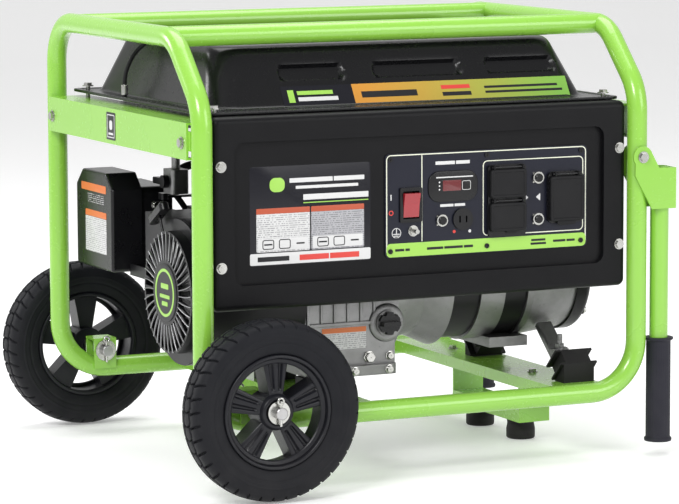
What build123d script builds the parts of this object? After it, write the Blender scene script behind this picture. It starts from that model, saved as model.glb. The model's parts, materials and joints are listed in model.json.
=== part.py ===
"""Portable generator: an open-frame engine and alternator set on two wheels.

Millimetres, +Z up. The origin is on the ground, midway between the frame's
uprights. The control panel faces -Y, the wheels are at the -X end, and the
fold-down handles are at the +X end.
"""

import os
from math import atan2, cos, radians, sin, tan

from build123d import *

os.makedirs("parts", exist_ok=True)

# ---------------------------------------------------------------- frame sizes
TUBE_R = 14.0
TUBE_WALL = 2.0
UPRIGHT_X = 327.5
UPRIGHT_Y = 264.5
TOP_Z = 600.0
RAIL_Z = 94.0
LOW_BEND_R = 70.0
TOP_BEND_R = 60.0
SLANT_BEND_R = 70.0
SLANT_TOP_Y = -176.0
SLANT_LOW_Z = 512.0
FRONT_RAIL_Y = -156.0
REAR_RAIL_Y = 180.0
MOUNT_RAIL_TOP = 105.0
MOUNT_RAIL_DEPTH = 16.0
SHEET = 3.0
ENGINE_RAIL_X = -112.0
ENGINE_RAIL_W = 74.0
ALTERNATOR_RAIL_X = 242.0
ALTERNATOR_RAIL_W = 80.0

# ------------------------------------------------------------- brace and tank
BRACE_LOW_Z = 444.0
BRACE_TOP_Z = 493.0
BRACE_SHELF = 62.0
LEFT_BRACE_HALF = 253.0
RIGHT_BRACE_HALF = 242.0
FLANGE_Z = 500.0
FLANGE_T = 2.5
FLANGE_X = 311.0
FLANGE_FRONT_Y = -246.0
FLANGE_REAR_Y = 250.0
DOME_BASE_X = 284.0
DOME_TOP_X = 258.0
DOME_BASE_Y = (-203.0, 232.0)
DOME_TOP_Y = (-152.0, 186.0)
DOME_TOP_Z = 584.0
TANK_SKIN = 1.2
TOP_DIP = 9.0
TANK_BOLT_X = 294.0
TANK_BOLT_Y = 228.0
CAP_X = -188.0
CAP_Y = -10.0
NECK_R = 21.0
CAP_R = 28.0

# ------------------------------------------------------------- control panel
COVER_HALF_X = 311.5
COVER_LOW_Z = 241.0
COVER_TOP_Z = 499.0
COVER_FRONT_Y = -263.0
COVER_DEPTH = 48.0
COVER_SKIN = 2.5
RECESS_X = (-281.0, 276.0)
RECESS_Z = (275.0, 465.0)
RECESS_DEPTH = 7.0
PANEL_Y = COVER_FRONT_Y + RECESS_DEPTH
PLATE_X = (-58.0, 252.0)
PLATE_Z = (299.0, 440.0)
PLATE_T = 2.0
PLATE_Y = PANEL_Y - PLATE_T
SCREW_X = (-50.5, 96.0, 242.0)
SCREW_Z = (308.0, 432.5)
ROCKER_X = -20.0
ROCKER_Z = 370.0
METER_X = 44.0
METER_Z = 392.5
GROUND_X = -16.0
GROUND_Z = 334.5
DC_BUTTON_X = 26.8
DC_BUTTON_Z = 346.5
DC_OUTLET_X = 58.8
DC_OUTLET_Z = 346.8
DUPLEX_X = 125.0
DUPLEX_Z = 369.5
TWIST_X = 216.0
TWIST_Z = 369.7
AC_BUTTON_X = 174.5
AC_BUTTON_Z = (398.0, 341.0)
PANEL_CUTS = (
    (ROCKER_X, ROCKER_Z, 27, 41),
    (METER_X, METER_Z, 56, 32),
    (DC_OUTLET_X, DC_OUTLET_Z, 24, 24),
    (DUPLEX_X, DUPLEX_Z, 40, 86),
    (TWIST_X, TWIST_Z, 44, 58),
    (DC_BUTTON_X, DC_BUTTON_Z, 14, 14),
    (AC_BUTTON_X, AC_BUTTON_Z[0], 14, 14),
    (AC_BUTTON_X, AC_BUTTON_Z[1], 14, 14),
)
BUTTON_R = 5.5

# -------------------------------------------------------------------- wheels
WHEEL_R = 120.5
WHEEL_W = 58.0
WHEEL_X = -264.5
WHEEL_Y = 340.0
RIM_R = 76.0
HUB_R = 25.0
AXLE_R = 8.0
AXLE_FIT = 0.06
SPOKES = 5
AXLE_OUT_Y = 377.0
AXLE_IN_Y = 236.0
BRACKET_TOP_Z = 138.0
BRACKET_SIDE = 34.0

# ------------------------------------------------------------------- handles
PIVOT_Z = 421.0
PIVOT_R = 4.0
HANDLE_X = 364.0
HANDLE_R = 13.0
HANDLE_TOP_Z = 406.0
GRIP_LOW_Z = 19.0
GRIP_TOP_Z = 166.0
GRIP_R = 17.3
GRIP_FLANGE_R = 21.0
CHEEK_GAP = 0.6
STRIP_X = HANDLE_X + HANDLE_R + 0.4

# --------------------------------------------------------- support leg, feet
LEG_X = 254.0
LEG_W = 49.0
LEG_Y = 104.0
LEG_TOE = 36.0
LEG_BOLT_X = 240.0
LEG_BOLT_Y = 124.0
LEG_FLOOR_Z = 44.0
LEG_SKIRT_Z = 29.0
FOOT_Y = 63.0
FOOT_R = 21.5

# -------------------------------------------------------------------- engine
CRANK_Y = -85.0
CRANK_Z = 247.0
RECOIL_X = -306.0
RECOIL_R = 92.0
SHROUD_X = (-284.0, -140.0)
SHROUD_R = 101.0
BLOCK_X = (-138.0, 6.0)
BLOCK_DEPTH = 168.0
BLOCK_HEIGHT = 176.0
BLOCK_CORNER = 34.0
PEDESTAL_X = 132.0
PEDESTAL_H = 62.0
ENGINE_FOOT_Z = 128.0
CYLINDER_TILT = 25.0
BORE_R = 34.0
CYLINDER_LENGTH = 150.0
HEAD_H = 34.0
SHAFT_R = 12.5
CRANK_THROW = 27.0
PORT_Y = 66.0
PORT_Z = 317.5
PORT_R = 12.0
FILLER_X = -13.0
FILLER_Y = -150.0
FILLER_Z = 198.0

# ---------------------------------------------------------------- alternator
STATOR_X = (87.0, 215.0)
STATOR_R = 88.0
BELL_X = (215.0, 288.0)
END_X = 311.0
ROTOR_R = 60.0
MOUNT_X = 254.0
MOUNT_DY = 137.0
MOUNT_GAP = 25.0
STUD_DY = 104.0


def save(part, name):
    """Label one finished sub-part and write its STEP file."""
    part.label = name
    export_step(part, f"parts/{name}.step")


def side_path(side):
    """Centre line of one side frame, from the rear rail's middle to the front one's."""
    corners = (
        (0, UPRIGHT_Y, RAIL_Z),
        (side * UPRIGHT_X, UPRIGHT_Y, RAIL_Z),
        (side * UPRIGHT_X, UPRIGHT_Y, TOP_Z),
        (side * UPRIGHT_X, SLANT_TOP_Y, TOP_Z),
        (side * UPRIGHT_X, -UPRIGHT_Y, SLANT_LOW_Z),
        (side * UPRIGHT_X, -UPRIGHT_Y, RAIL_Z),
        (0, -UPRIGHT_Y, RAIL_Z),
    )
    bends = (LOW_BEND_R, TOP_BEND_R, SLANT_BEND_R, SLANT_BEND_R, LOW_BEND_R)
    return FilletPolyline(*corners, radius=bends, mode=Mode.PRIVATE)


def side_frame(side, bore_r):
    """One bent side frame swept along its centre line, hollow when bore_r is given."""
    path = side_path(side)
    with BuildPart() as frame:
        with BuildSketch(Plane(origin=path @ 0, z_dir=path % 0)):
            Circle(TUBE_R)
            if bore_r:
                Circle(bore_r, mode=Mode.SUBTRACT)
        sweep(path=path)
    return frame.part


def panel_plane(x, z, y=PLATE_Y):
    """A plane on the control plate, looking out at the operator, X to the right."""
    return Plane(origin=(x, y, z), x_dir=(1, 0, 0), z_dir=(0, -1, 0))


def across(x, y, z):
    """A plane whose normal runs along +X."""
    return Plane(origin=(x, y, z), x_dir=(0, 1, 0), z_dir=(1, 0, 0))


def outward(y_sign, x, y, z):
    """A plane whose normal points away from the machine along +Y or -Y."""
    return Plane(origin=(x, y, z), x_dir=(1, 0, 0), z_dir=(0, y_sign, 0))


def hex_bolt(plane, head_r, head_h, shank_r, shank_l):
    """A flanged hexagon bolt: its head stands out of the plane, its shank goes in."""
    with BuildSketch(plane, mode=Mode.PRIVATE) as flange:
        Circle(head_r * 1.25)
    extrude(flange.sketch, amount=head_h * 0.3)
    with BuildSketch(plane.offset(head_h * 0.3), mode=Mode.PRIVATE) as head:
        RegularPolygon(head_r, 6)
    extrude(head.sketch, amount=head_h * 0.7)
    with BuildSketch(plane, mode=Mode.PRIVATE) as shank:
        Circle(shank_r)
    extrude(shank.sketch, amount=-shank_l)


def mount_plane(y_sign, offset):
    """A plane on one tilted alternator mount, facing up towards the crank's axis."""
    lower = (MOUNT_X, CRANK_Y + y_sign * MOUNT_DY, MOUNT_RAIL_TOP + 14)
    return Plane(origin=lower, x_dir=(1, 0, 0), z_dir=(0, -y_sign, 1)).offset(offset)


def cut_panel_holes():
    """Cut every switch, outlet and screw hole through the part being built."""
    for hole_x, hole_z, hole_w, hole_h in PANEL_CUTS:
        with Locations((hole_x, PANEL_Y, hole_z)):
            Box(hole_w, 20, hole_h, mode=Mode.SUBTRACT)
    for hole_x in SCREW_X:
        for hole_z in SCREW_Z:
            with Locations((hole_x, PANEL_Y, hole_z)):
                Cylinder(1.6, 20, rotation=(90, 0, 0), mode=Mode.SUBTRACT)
    with Locations((GROUND_X, PANEL_Y, GROUND_Z)):
        Cylinder(3, 20, rotation=(90, 0, 0), mode=Mode.SUBTRACT)


left_solid = side_frame(-1, 0)
right_solid = side_frame(1, 0)

# ------------------------------------------------------- bent tube side frames
for side, side_name in ((-1, "left_frame_tube"), (1, "right_frame_tube")):
    tube = side_frame(side, TUBE_R - TUBE_WALL)
    with BuildPart() as side_tube:
        add(tube)
        for y_sign in (-1, 1):
            if side > 0:
                with Locations((side * UPRIGHT_X, y_sign * UPRIGHT_Y, PIVOT_Z)):
                    Cylinder(PIVOT_R, 60, rotation=(90, 0, 0), mode=Mode.SUBTRACT)
            axle_at = (WHEEL_X, y_sign * UPRIGHT_Y, RAIL_Z)
            if side < 0:
                with Locations(axle_at):
                    Cylinder(3, 40, mode=Mode.SUBTRACT)
    save(side_tube.part, side_name)

# ------------------------------------------ welded top rails and mounting rails
with BuildPart() as cross_rails:
    for rail_y in (FRONT_RAIL_Y, REAR_RAIL_Y):
        with BuildSketch(across(-UPRIGHT_X, rail_y, TOP_Z)):
            Circle(TUBE_R)
            Circle(TUBE_R - TUBE_WALL, mode=Mode.SUBTRACT)
        extrude(amount=2 * UPRIGHT_X)
    for rail_x, rail_w in ((ENGINE_RAIL_X, ENGINE_RAIL_W), (ALTERNATOR_RAIL_X, ALTERNATOR_RAIL_W)):
        with BuildSketch(panel_plane(rail_x, MOUNT_RAIL_TOP - MOUNT_RAIL_DEPTH / 2, -UPRIGHT_Y)):
            Rectangle(rail_w, MOUNT_RAIL_DEPTH)
            with Locations((0, -SHEET)):
                Rectangle(rail_w - 2 * SHEET, MOUNT_RAIL_DEPTH, mode=Mode.SUBTRACT)
        extrude(amount=-2 * UPRIGHT_Y)
    for bolt_y in (-LEG_BOLT_Y, LEG_BOLT_Y):
        with Locations((LEG_BOLT_X, bolt_y, MOUNT_RAIL_TOP)):
            Cylinder(3, 20, mode=Mode.SUBTRACT)
    add(left_solid, mode=Mode.SUBTRACT)
    add(right_solid, mode=Mode.SUBTRACT)
save(cross_rails.part, "cross_rails")

# --------------------------------------------------------------- axle brackets
with BuildPart() as axle_brackets:
    for y_sign in (-1, 1):
        with BuildSketch(Plane.XY.offset(RAIL_Z)):
            with Locations((WHEEL_X, y_sign * UPRIGHT_Y)):
                Rectangle(BRACKET_SIDE, BRACKET_SIDE)
        extrude(amount=BRACKET_TOP_Z - RAIL_Z)
        with BuildSketch(Plane.XY.offset(RAIL_Z)):
            with Locations((WHEEL_X, y_sign * UPRIGHT_Y)):
                Rectangle(BRACKET_SIDE, BRACKET_SIDE - 2 * SHEET)
        extrude(amount=BRACKET_TOP_Z - SHEET - RAIL_Z, mode=Mode.SUBTRACT)
        with Locations((WHEEL_X, y_sign * UPRIGHT_Y, WHEEL_R)):
            Cylinder(AXLE_R, 60, rotation=(90, 0, 0), mode=Mode.SUBTRACT)
    add(left_solid, mode=Mode.SUBTRACT)
save(axle_brackets.part, "axle_brackets")

# -------------------------------------------------------------- axles and pins
with BuildPart() as axles:
    for y_sign in (-1, 1):
        with BuildSketch(outward(y_sign, WHEEL_X, y_sign * AXLE_IN_Y, WHEEL_R)):
            Circle(AXLE_R)
        extrude(amount=AXLE_OUT_Y - AXLE_IN_Y)
        for pin_y in (AXLE_IN_Y + 6, AXLE_OUT_Y - 5):
            with Locations((WHEEL_X, y_sign * pin_y, WHEEL_R)):
                Cylinder(2, 3 * AXLE_R, mode=Mode.SUBTRACT)
    chamfer(axles.edges().filter_by(GeomType.CIRCLE).group_by(SortBy.RADIUS)[-1], 0.8)
save(axles.part, "axles")

with BuildPart() as axle_washers_and_pins:
    for y_sign in (-1, 1):
        for washer_y in (AXLE_IN_Y + 9, WHEEL_Y + WHEEL_W / 2 - 4.5):
            with BuildSketch(outward(y_sign, WHEEL_X, y_sign * washer_y, WHEEL_R)):
                Circle(15.5)
                Circle(AXLE_R + 0.1, mode=Mode.SUBTRACT)
            extrude(amount=2)
        for pin_y in (AXLE_IN_Y + 6, AXLE_OUT_Y - 5):
            with BuildSketch(Plane.XY.offset(WHEEL_R - 17)):
                with Locations((WHEEL_X, y_sign * pin_y)):
                    Circle(1.9)
            extrude(amount=31)
            with Locations((WHEEL_X, y_sign * pin_y, WHEEL_R + 16)):
                Torus(4, 1.5, rotation=(90, 0, 0))
save(axle_washers_and_pins.part, "axle_washers_and_pins")

# ---------------------------------------------------------- wheels: rim, tyre
for y_sign, wheel_name in ((-1, "front"), (1, "rear")):
    middle = outward(y_sign, WHEEL_X, y_sign * WHEEL_Y, WHEEL_R)
    with BuildPart() as rim:
        with BuildSketch(middle.offset(-HUB_R)):
            Circle(HUB_R)
        extrude(amount=HUB_R + WHEEL_W / 2 - 5)
        with BuildSketch(middle.offset(-WHEEL_W / 2 + 5)):
            Circle(RIM_R)
            Circle(RIM_R - 6, mode=Mode.SUBTRACT)
        extrude(amount=WHEEL_W - 10)
        with BuildSketch(middle.offset(-WHEEL_W / 2 + 12)):
            with PolarLocations(0, SPOKES, start_angle=90):
                Polygon((18, -10), (RIM_R - 3, -19), (RIM_R - 3, 19), (18, 10), align=None)
        extrude(amount=WHEEL_W - 22)
        with BuildSketch(middle.offset(WHEEL_W / 2 - 14)):
            with PolarLocations(0, SPOKES, start_angle=90):
                with Locations((48, 0)):
                    SlotOverall(36, 5)
        extrude(amount=8, mode=Mode.SUBTRACT)
        with BuildSketch(middle.offset(-WHEEL_W)):
            Circle(AXLE_R + AXLE_FIT)
        extrude(amount=2 * WHEEL_W, mode=Mode.SUBTRACT)
    save(rim.part, f"{wheel_name}_rim")

    half_w = WHEEL_W / 2
    with BuildPart() as tyre:
        with BuildSketch(Plane.YZ.offset(WHEEL_X)):
            with BuildLine():
                crown = ThreePointArc(
                    (-half_w + 6, WHEEL_R - 4), (0, WHEEL_R), (half_w - 6, WHEEL_R - 4)
                )
                Spline(
                    crown @ 1,
                    (half_w - 1, WHEEL_R - 17),
                    (half_w - 3, RIM_R + 10),
                    (half_w - 7, RIM_R),
                )
                Line((half_w - 7, RIM_R), (-half_w + 7, RIM_R))
                Spline(
                    (-half_w + 7, RIM_R),
                    (-half_w + 3, RIM_R + 10),
                    (-half_w + 1, WHEEL_R - 17),
                    crown @ 0,
                )
            make_face()
            for groove_y in (-12, 0, 12):
                with Locations((groove_y, WHEEL_R)):
                    Rectangle(2.5, 8, mode=Mode.SUBTRACT)
        revolve(axis=Axis((WHEEL_X, 0, 0), (0, 1, 0)))
    placed = tyre.part.moved(Location((0, y_sign * WHEEL_Y, WHEEL_R)))
    save(placed, f"{wheel_name}_tyre")

# ------------------------------------------------------- fold-down side handles
for y_sign, handle_name in ((-1, "front"), (1, "rear")):
    pivot_y = y_sign * UPRIGHT_Y
    cheek_in = TUBE_R + CHEEK_GAP
    with BuildPart() as handle:
        for cheek_y in (pivot_y - cheek_in - SHEET, pivot_y + cheek_in):
            with BuildSketch(panel_plane(0, 0, cheek_y)):
                with BuildLine():
                    Polyline(
                        (UPRIGHT_X + 12, PIVOT_Z + 9),
                        (UPRIGHT_X + 26, PIVOT_Z - 16),
                        (STRIP_X, PIVOT_Z - 16),
                        (STRIP_X, PIVOT_Z - 73),
                        (UPRIGHT_X + 15, PIVOT_Z - 73),
                        (UPRIGHT_X - 12, PIVOT_Z - 26),
                        (UPRIGHT_X - 12, PIVOT_Z + 9),
                        close=True,
                    )
                make_face()
                with Locations((UPRIGHT_X, PIVOT_Z)):
                    Circle(15)
                    Circle(PIVOT_R + AXLE_FIT, mode=Mode.SUBTRACT)
            extrude(amount=-SHEET)
        with BuildSketch(Plane.XY.offset(PIVOT_Z - 73)):
            with Locations((STRIP_X + SHEET / 2, pivot_y)):
                Rectangle(SHEET, 2 * (cheek_in + SHEET))
        extrude(amount=57)
        with BuildSketch(Plane.XY.offset(GRIP_LOW_Z + 4)):
            with Locations((HANDLE_X, pivot_y)):
                Circle(HANDLE_R)
                Circle(HANDLE_R - TUBE_WALL, mode=Mode.SUBTRACT)
        extrude(amount=HANDLE_TOP_Z - GRIP_LOW_Z - 4)
        for tack_y in (-1, 1):
            with Locations((HANDLE_X, pivot_y + tack_y * (HANDLE_R + 0.5), PIVOT_Z - 45)):
                Box(8, 4, 50)
    save(handle.part, f"{handle_name}_handle")

    with BuildPart() as grip:
        with BuildSketch(Plane.XY.offset(GRIP_LOW_Z)):
            with Locations((HANDLE_X, pivot_y)):
                Circle(GRIP_R)
        extrude(amount=GRIP_TOP_Z - GRIP_LOW_Z)
        for flange_z, flange_r, flange_t in (
            (GRIP_LOW_Z, 19.5, 4),
            (GRIP_TOP_Z - 3, GRIP_FLANGE_R, 3),
        ):
            with BuildSketch(Plane.XY.offset(flange_z)):
                with Locations((HANDLE_X, pivot_y)):
                    Circle(flange_r)
            extrude(amount=flange_t)
        with BuildSketch(Plane.XY.offset(GRIP_LOW_Z + 4)):
            with Locations((HANDLE_X, pivot_y)):
                Circle(HANDLE_R)
        extrude(amount=GRIP_TOP_Z, mode=Mode.SUBTRACT)
    save(grip.part, f"{handle_name}_grip")

with BuildPart() as handle_pivot_bolts:
    for y_sign in (-1, 1):
        head_y = y_sign * (UPRIGHT_Y + TUBE_R + CHEEK_GAP + SHEET)
        hex_bolt(outward(y_sign, UPRIGHT_X, head_y, PIVOT_Z), 6.5, 5, PIVOT_R, 36)
        nut_y = y_sign * (UPRIGHT_Y - TUBE_R - CHEEK_GAP - SHEET)
        with BuildSketch(outward(-y_sign, UPRIGHT_X, nut_y, PIVOT_Z)):
            RegularPolygon(7, 6)
            Circle(PIVOT_R, mode=Mode.SUBTRACT)
        extrude(amount=6)
save(handle_pivot_bolts.part, "handle_pivot_bolts")

# --------------------------------------------------------- support leg and feet
leg_top = MOUNT_RAIL_TOP - SHEET
with BuildPart() as support_leg:
    with BuildSketch(across(LEG_X - LEG_W / 2, 0, 0)):
        with BuildLine():
            Polyline(
                (-LEG_Y - LEG_TOE, leg_top),
                (-LEG_Y - LEG_TOE, leg_top - SHEET),
                (-LEG_Y, leg_top - SHEET),
                (-LEG_Y, LEG_FLOOR_Z),
                (LEG_Y, LEG_FLOOR_Z),
                (LEG_Y, leg_top - SHEET),
                (LEG_Y + LEG_TOE, leg_top - SHEET),
                (LEG_Y + LEG_TOE, leg_top),
                (LEG_Y - SHEET, leg_top),
                (LEG_Y - SHEET, LEG_FLOOR_Z + SHEET),
                (-LEG_Y + SHEET, LEG_FLOOR_Z + SHEET),
                (-LEG_Y + SHEET, leg_top),
                close=True,
            )
        make_face()
    extrude(amount=LEG_W)
    with BuildSketch(Plane.XY.offset(LEG_SKIRT_Z)):
        with Locations((LEG_X, 0)):
            Rectangle(LEG_W, 2 * LEG_Y)
            Rectangle(LEG_W - 2 * SHEET, 2 * LEG_Y - 2 * SHEET, mode=Mode.SUBTRACT)
    extrude(amount=LEG_FLOOR_Z - LEG_SKIRT_Z)
    with BuildSketch(Plane.XY.offset(LEG_SKIRT_Z)):
        with Locations((LEG_X, -FOOT_Y), (LEG_X, FOOT_Y)):
            Circle(4)
    extrude(amount=2 * LEG_SKIRT_Z, mode=Mode.SUBTRACT)
    for bolt_y in (-LEG_BOLT_Y, LEG_BOLT_Y):
        with Locations((LEG_BOLT_X, bolt_y, leg_top)):
            Cylinder(3, 20, mode=Mode.SUBTRACT)
save(support_leg.part, "support_leg")

with BuildPart() as rubber_feet:
    for y_sign in (-1, 1):
        with BuildSketch(Plane.XY):
            with Locations((LEG_X, y_sign * FOOT_Y)):
                Circle(FOOT_R - 0.6)
        extrude(amount=LEG_FLOOR_Z)
        with BuildSketch(Plane.XY):
            with Locations((LEG_X, y_sign * FOOT_Y)):
                Circle(8)
        extrude(amount=14, mode=Mode.SUBTRACT)
    chamfer(rubber_feet.faces().sort_by(Axis.Z)[0:2].edges(), 1)
save(rubber_feet.part, "rubber_feet")

# ------------------------------------------------------------------ tank braces
with BuildPart() as tank_braces:
    for side, half in ((-1, LEFT_BRACE_HALF), (1, RIGHT_BRACE_HALF)):
        outer_x = UPRIGHT_X + TUBE_R + SHEET
        with BuildSketch(panel_plane(0, 0, -half)):
            with BuildLine():
                Polyline(
                    (side * outer_x, BRACE_LOW_Z),
                    (side * outer_x, BRACE_TOP_Z),
                    (side * (outer_x - BRACE_SHELF), BRACE_TOP_Z),
                    (side * (outer_x - BRACE_SHELF), BRACE_TOP_Z - SHEET),
                    (side * (outer_x - SHEET), BRACE_TOP_Z - SHEET),
                    (side * (outer_x - SHEET), BRACE_LOW_Z + SHEET),
                    (side * (outer_x - 10), BRACE_LOW_Z + SHEET),
                    (side * (outer_x - 10), BRACE_LOW_Z),
                    close=True,
                )
            make_face()
        extrude(amount=-2 * half)
        for y_sign in (-1, 1):
            tab_x = side * (outer_x - 1.5 * SHEET)
            with Locations((tab_x, y_sign * 244, 469)):
                Box(SHEET, 30, 26)
            with Locations((side * TANK_BOLT_X, y_sign * TANK_BOLT_Y, BRACE_TOP_Z)):
                Cylinder(3.2, 20, mode=Mode.SUBTRACT)
            with Locations((side * outer_x, y_sign * 238, 466)):
                Cylinder(3.2, 20, rotation=(0, 90, 0), mode=Mode.SUBTRACT)
    add(left_solid, mode=Mode.SUBTRACT)
    add(right_solid, mode=Mode.SUBTRACT)
save(tank_braces.part, "tank_braces")

# -------------------------------------------------------------- zinc frame bolts
with BuildPart() as frame_bolts:
    for side in (-1, 1):
        for y_sign in (-1, 1):
            brace_x = side * (UPRIGHT_X + TUBE_R + SHEET)
            brace_face = Plane(origin=(brace_x, y_sign * 238, 466), z_dir=(side, 0, 0))
            hex_bolt(brace_face, 6.5, 5, 3.2, 12)
            pad_face = Plane(origin=(side * TANK_BOLT_X, y_sign * TANK_BOLT_Y, 507.5))
            hex_bolt(pad_face, 6.5, 5, 3.2, 24)
        for bolt_z in (300, 434):
            hex_bolt(outward(-1, side * 300, COVER_FRONT_Y, bolt_z), 6, 5, 3, 14)
    for bolt_y in (-LEG_BOLT_Y, LEG_BOLT_Y):
        hex_bolt(Plane(origin=(LEG_BOLT_X, bolt_y, MOUNT_RAIL_TOP)), 6, 5, 3, 14)
save(frame_bolts.part, "frame_bolts")

# ---------------------------------------------------------------- control cover
with BuildPart() as control_cover:
    cover_mid = (COVER_LOW_Z + COVER_TOP_Z) / 2
    cover_h = COVER_TOP_Z - COVER_LOW_Z
    with BuildSketch(Plane(origin=(0, COVER_FRONT_Y, cover_mid), x_dir=(1, 0, 0), z_dir=(0, 1, 0))):
        RectangleRounded(2 * COVER_HALF_X, cover_h, 10)
    extrude(amount=COVER_DEPTH)
    front_edges = control_cover.faces().sort_by(Axis.Y)[0].edges()
    fillet(front_edges, 9)
    with BuildSketch(
        Plane(origin=(0, COVER_FRONT_Y + COVER_DEPTH, cover_mid), x_dir=(1, 0, 0), z_dir=(0, -1, 0))
    ):
        Rectangle(2 * (COVER_HALF_X - COVER_SKIN), cover_h - 2 * COVER_SKIN)
    extrude(amount=COVER_DEPTH - RECESS_DEPTH - COVER_SKIN, mode=Mode.SUBTRACT)
    with BuildSketch(panel_plane(sum(RECESS_X) / 2, sum(RECESS_Z) / 2, PANEL_Y)):
        RectangleRounded(RECESS_X[1] - RECESS_X[0], RECESS_Z[1] - RECESS_Z[0], 14)
    extrude(amount=2 * RECESS_DEPTH, mode=Mode.SUBTRACT)
    cut_panel_holes()
    for hole_x in (-300, 300):
        for hole_z in (300, 434):
            with Locations((hole_x, COVER_FRONT_Y, hole_z)):
                Cylinder(3, 40, rotation=(90, 0, 0), mode=Mode.SUBTRACT)
    for side in (-1, 1):
        with Locations((side * TANK_BOLT_X, -TANK_BOLT_Y, COVER_TOP_Z)):
            Cylinder(3.4, 20, mode=Mode.SUBTRACT)
        with Locations((side * COVER_HALF_X, -235, BRACE_TOP_Z - SHEET / 2)):
            Box(12, 46, SHEET + 1, mode=Mode.SUBTRACT)
save(control_cover.part, "control_cover")

# ---------------------------------------------------------------- control plate
with BuildPart() as control_plate:
    with BuildSketch(panel_plane(sum(PLATE_X) / 2, sum(PLATE_Z) / 2, PANEL_Y)):
        RectangleRounded(PLATE_X[1] - PLATE_X[0], PLATE_Z[1] - PLATE_Z[0], 7)
    extrude(amount=PLATE_T)
    cut_panel_holes()
save(control_plate.part, "control_plate")

with BuildPart() as plate_screws:
    for screw_x in SCREW_X:
        for screw_z in SCREW_Z:
            with BuildSketch(panel_plane(screw_x, screw_z)):
                Circle(3.4)
            extrude(amount=1.8)
            with BuildSketch(panel_plane(screw_x, screw_z)):
                Circle(1.6)
            extrude(amount=-8)
            with BuildSketch(panel_plane(screw_x, screw_z, PLATE_Y - 1.8)):
                Rectangle(4.2, 0.9)
                Rectangle(0.9, 4.2)
            extrude(amount=-0.9, mode=Mode.SUBTRACT)
save(plate_screws.part, "plate_screws")

# ------------------------------------------------------- switch, meter, terminal
with BuildPart() as switch_bezel:
    with BuildSketch(panel_plane(ROCKER_X, ROCKER_Z)):
        RectangleRounded(33, 47, 2)
    extrude(amount=3)
    with BuildSketch(panel_plane(ROCKER_X, ROCKER_Z)):
        Rectangle(27, 41)
    extrude(amount=-16)
    with BuildSketch(panel_plane(ROCKER_X, ROCKER_Z, PLATE_Y - 3)):
        Rectangle(24, 37.4)
    extrude(amount=-16, mode=Mode.SUBTRACT)
save(switch_bezel.part, "switch_bezel")

ROCKER_HINGE_Y = PLATE_Y + 2
with BuildPart() as switch_rocker:
    with BuildSketch(across(ROCKER_X - 11.6, ROCKER_HINGE_Y, ROCKER_Z)):
        with BuildLine():
            Polyline(
                (2, -14),
                (-4.6, -16.6),
                (-6.6, 0),
                (-10.6, 16),
                (-6, 16.4),
                (6, 4),
                (6, -4),
                close=True,
            )
        make_face()
    extrude(amount=23.2)
save(switch_rocker.part, "switch_rocker")

with BuildPart() as digital_meter:
    with BuildSketch(panel_plane(METER_X, METER_Z)):
        RectangleRounded(75, 42, 16)
    extrude(amount=2)
    with BuildSketch(panel_plane(METER_X, METER_Z)):
        Rectangle(56, 32)
    extrude(amount=-18)
    with BuildSketch(panel_plane(METER_X - 2, METER_Z + 1, PLATE_Y - 2)):
        RectangleRounded(28, 14.5, 1)
    extrude(amount=-1, mode=Mode.SUBTRACT)
    with BuildSketch(panel_plane(METER_X + 20, METER_Z + 0.5, PLATE_Y - 2)):
        RectangleRounded(11, 11, 1.5)
    extrude(amount=1)
save(digital_meter.part, "digital_meter")

with BuildPart() as ground_terminal:
    hex_bolt(panel_plane(GROUND_X, GROUND_Z), 6, 4, 2.8, 10)
    with BuildSketch(panel_plane(GROUND_X, GROUND_Z, PLATE_Y - 4)):
        Circle(3)
    extrude(amount=10)
save(ground_terminal.part, "ground_terminal")

# ---------------------------------------------------------------------- outlets
with BuildPart() as dc_outlet:
    with BuildSketch(panel_plane(DC_OUTLET_X, DC_OUTLET_Z)):
        Circle(15)
    extrude(amount=3)
    with BuildSketch(panel_plane(DC_OUTLET_X, DC_OUTLET_Z)):
        Rectangle(24, 24)
    extrude(amount=-16)
    with BuildSketch(panel_plane(DC_OUTLET_X, DC_OUTLET_Z, PLATE_Y - 3)):
        with Locations((-5, 0), (5, 0)):
            Rectangle(2.4, 9)
    extrude(amount=-14, mode=Mode.SUBTRACT)
save(dc_outlet.part, "dc_outlet")

COVER_HINGE_Y = PLATE_Y - 9
FLAP_BACK_Y = PLATE_Y - 6
FLAP_T = 5.0
PIN_R = 1.4
DUPLEX_HINGE_Z = (DUPLEX_Z + 46, DUPLEX_Z)
TWIST_HINGE_Z = TWIST_Z + 32.5


def hinge_pin(x, z, pin_half, lug_w):
    """A cover's hinge pin with the lug that holds it on the outlet's face."""
    with Locations((x, PLATE_Y - 7, z)):
        Box(lug_w, 4.5, 3)
    with Locations((x, COVER_HINGE_Y, z)):
        Cylinder(PIN_R, 2 * pin_half, rotation=(0, 90, 0))


def hinge_ears(x, z, ear_x):
    """Two ears that reach from a cover's top edge round its hinge pin."""
    for side in (-1, 1):
        with Locations((x + side * ear_x, COVER_HINGE_Y, z - 2.5)):
            Box(3, 4.4, 11)
        with Locations((x + side * ear_x, COVER_HINGE_Y, z)):
            Cylinder(PIN_R + AXLE_FIT, 6, rotation=(0, 90, 0), mode=Mode.SUBTRACT)


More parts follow.
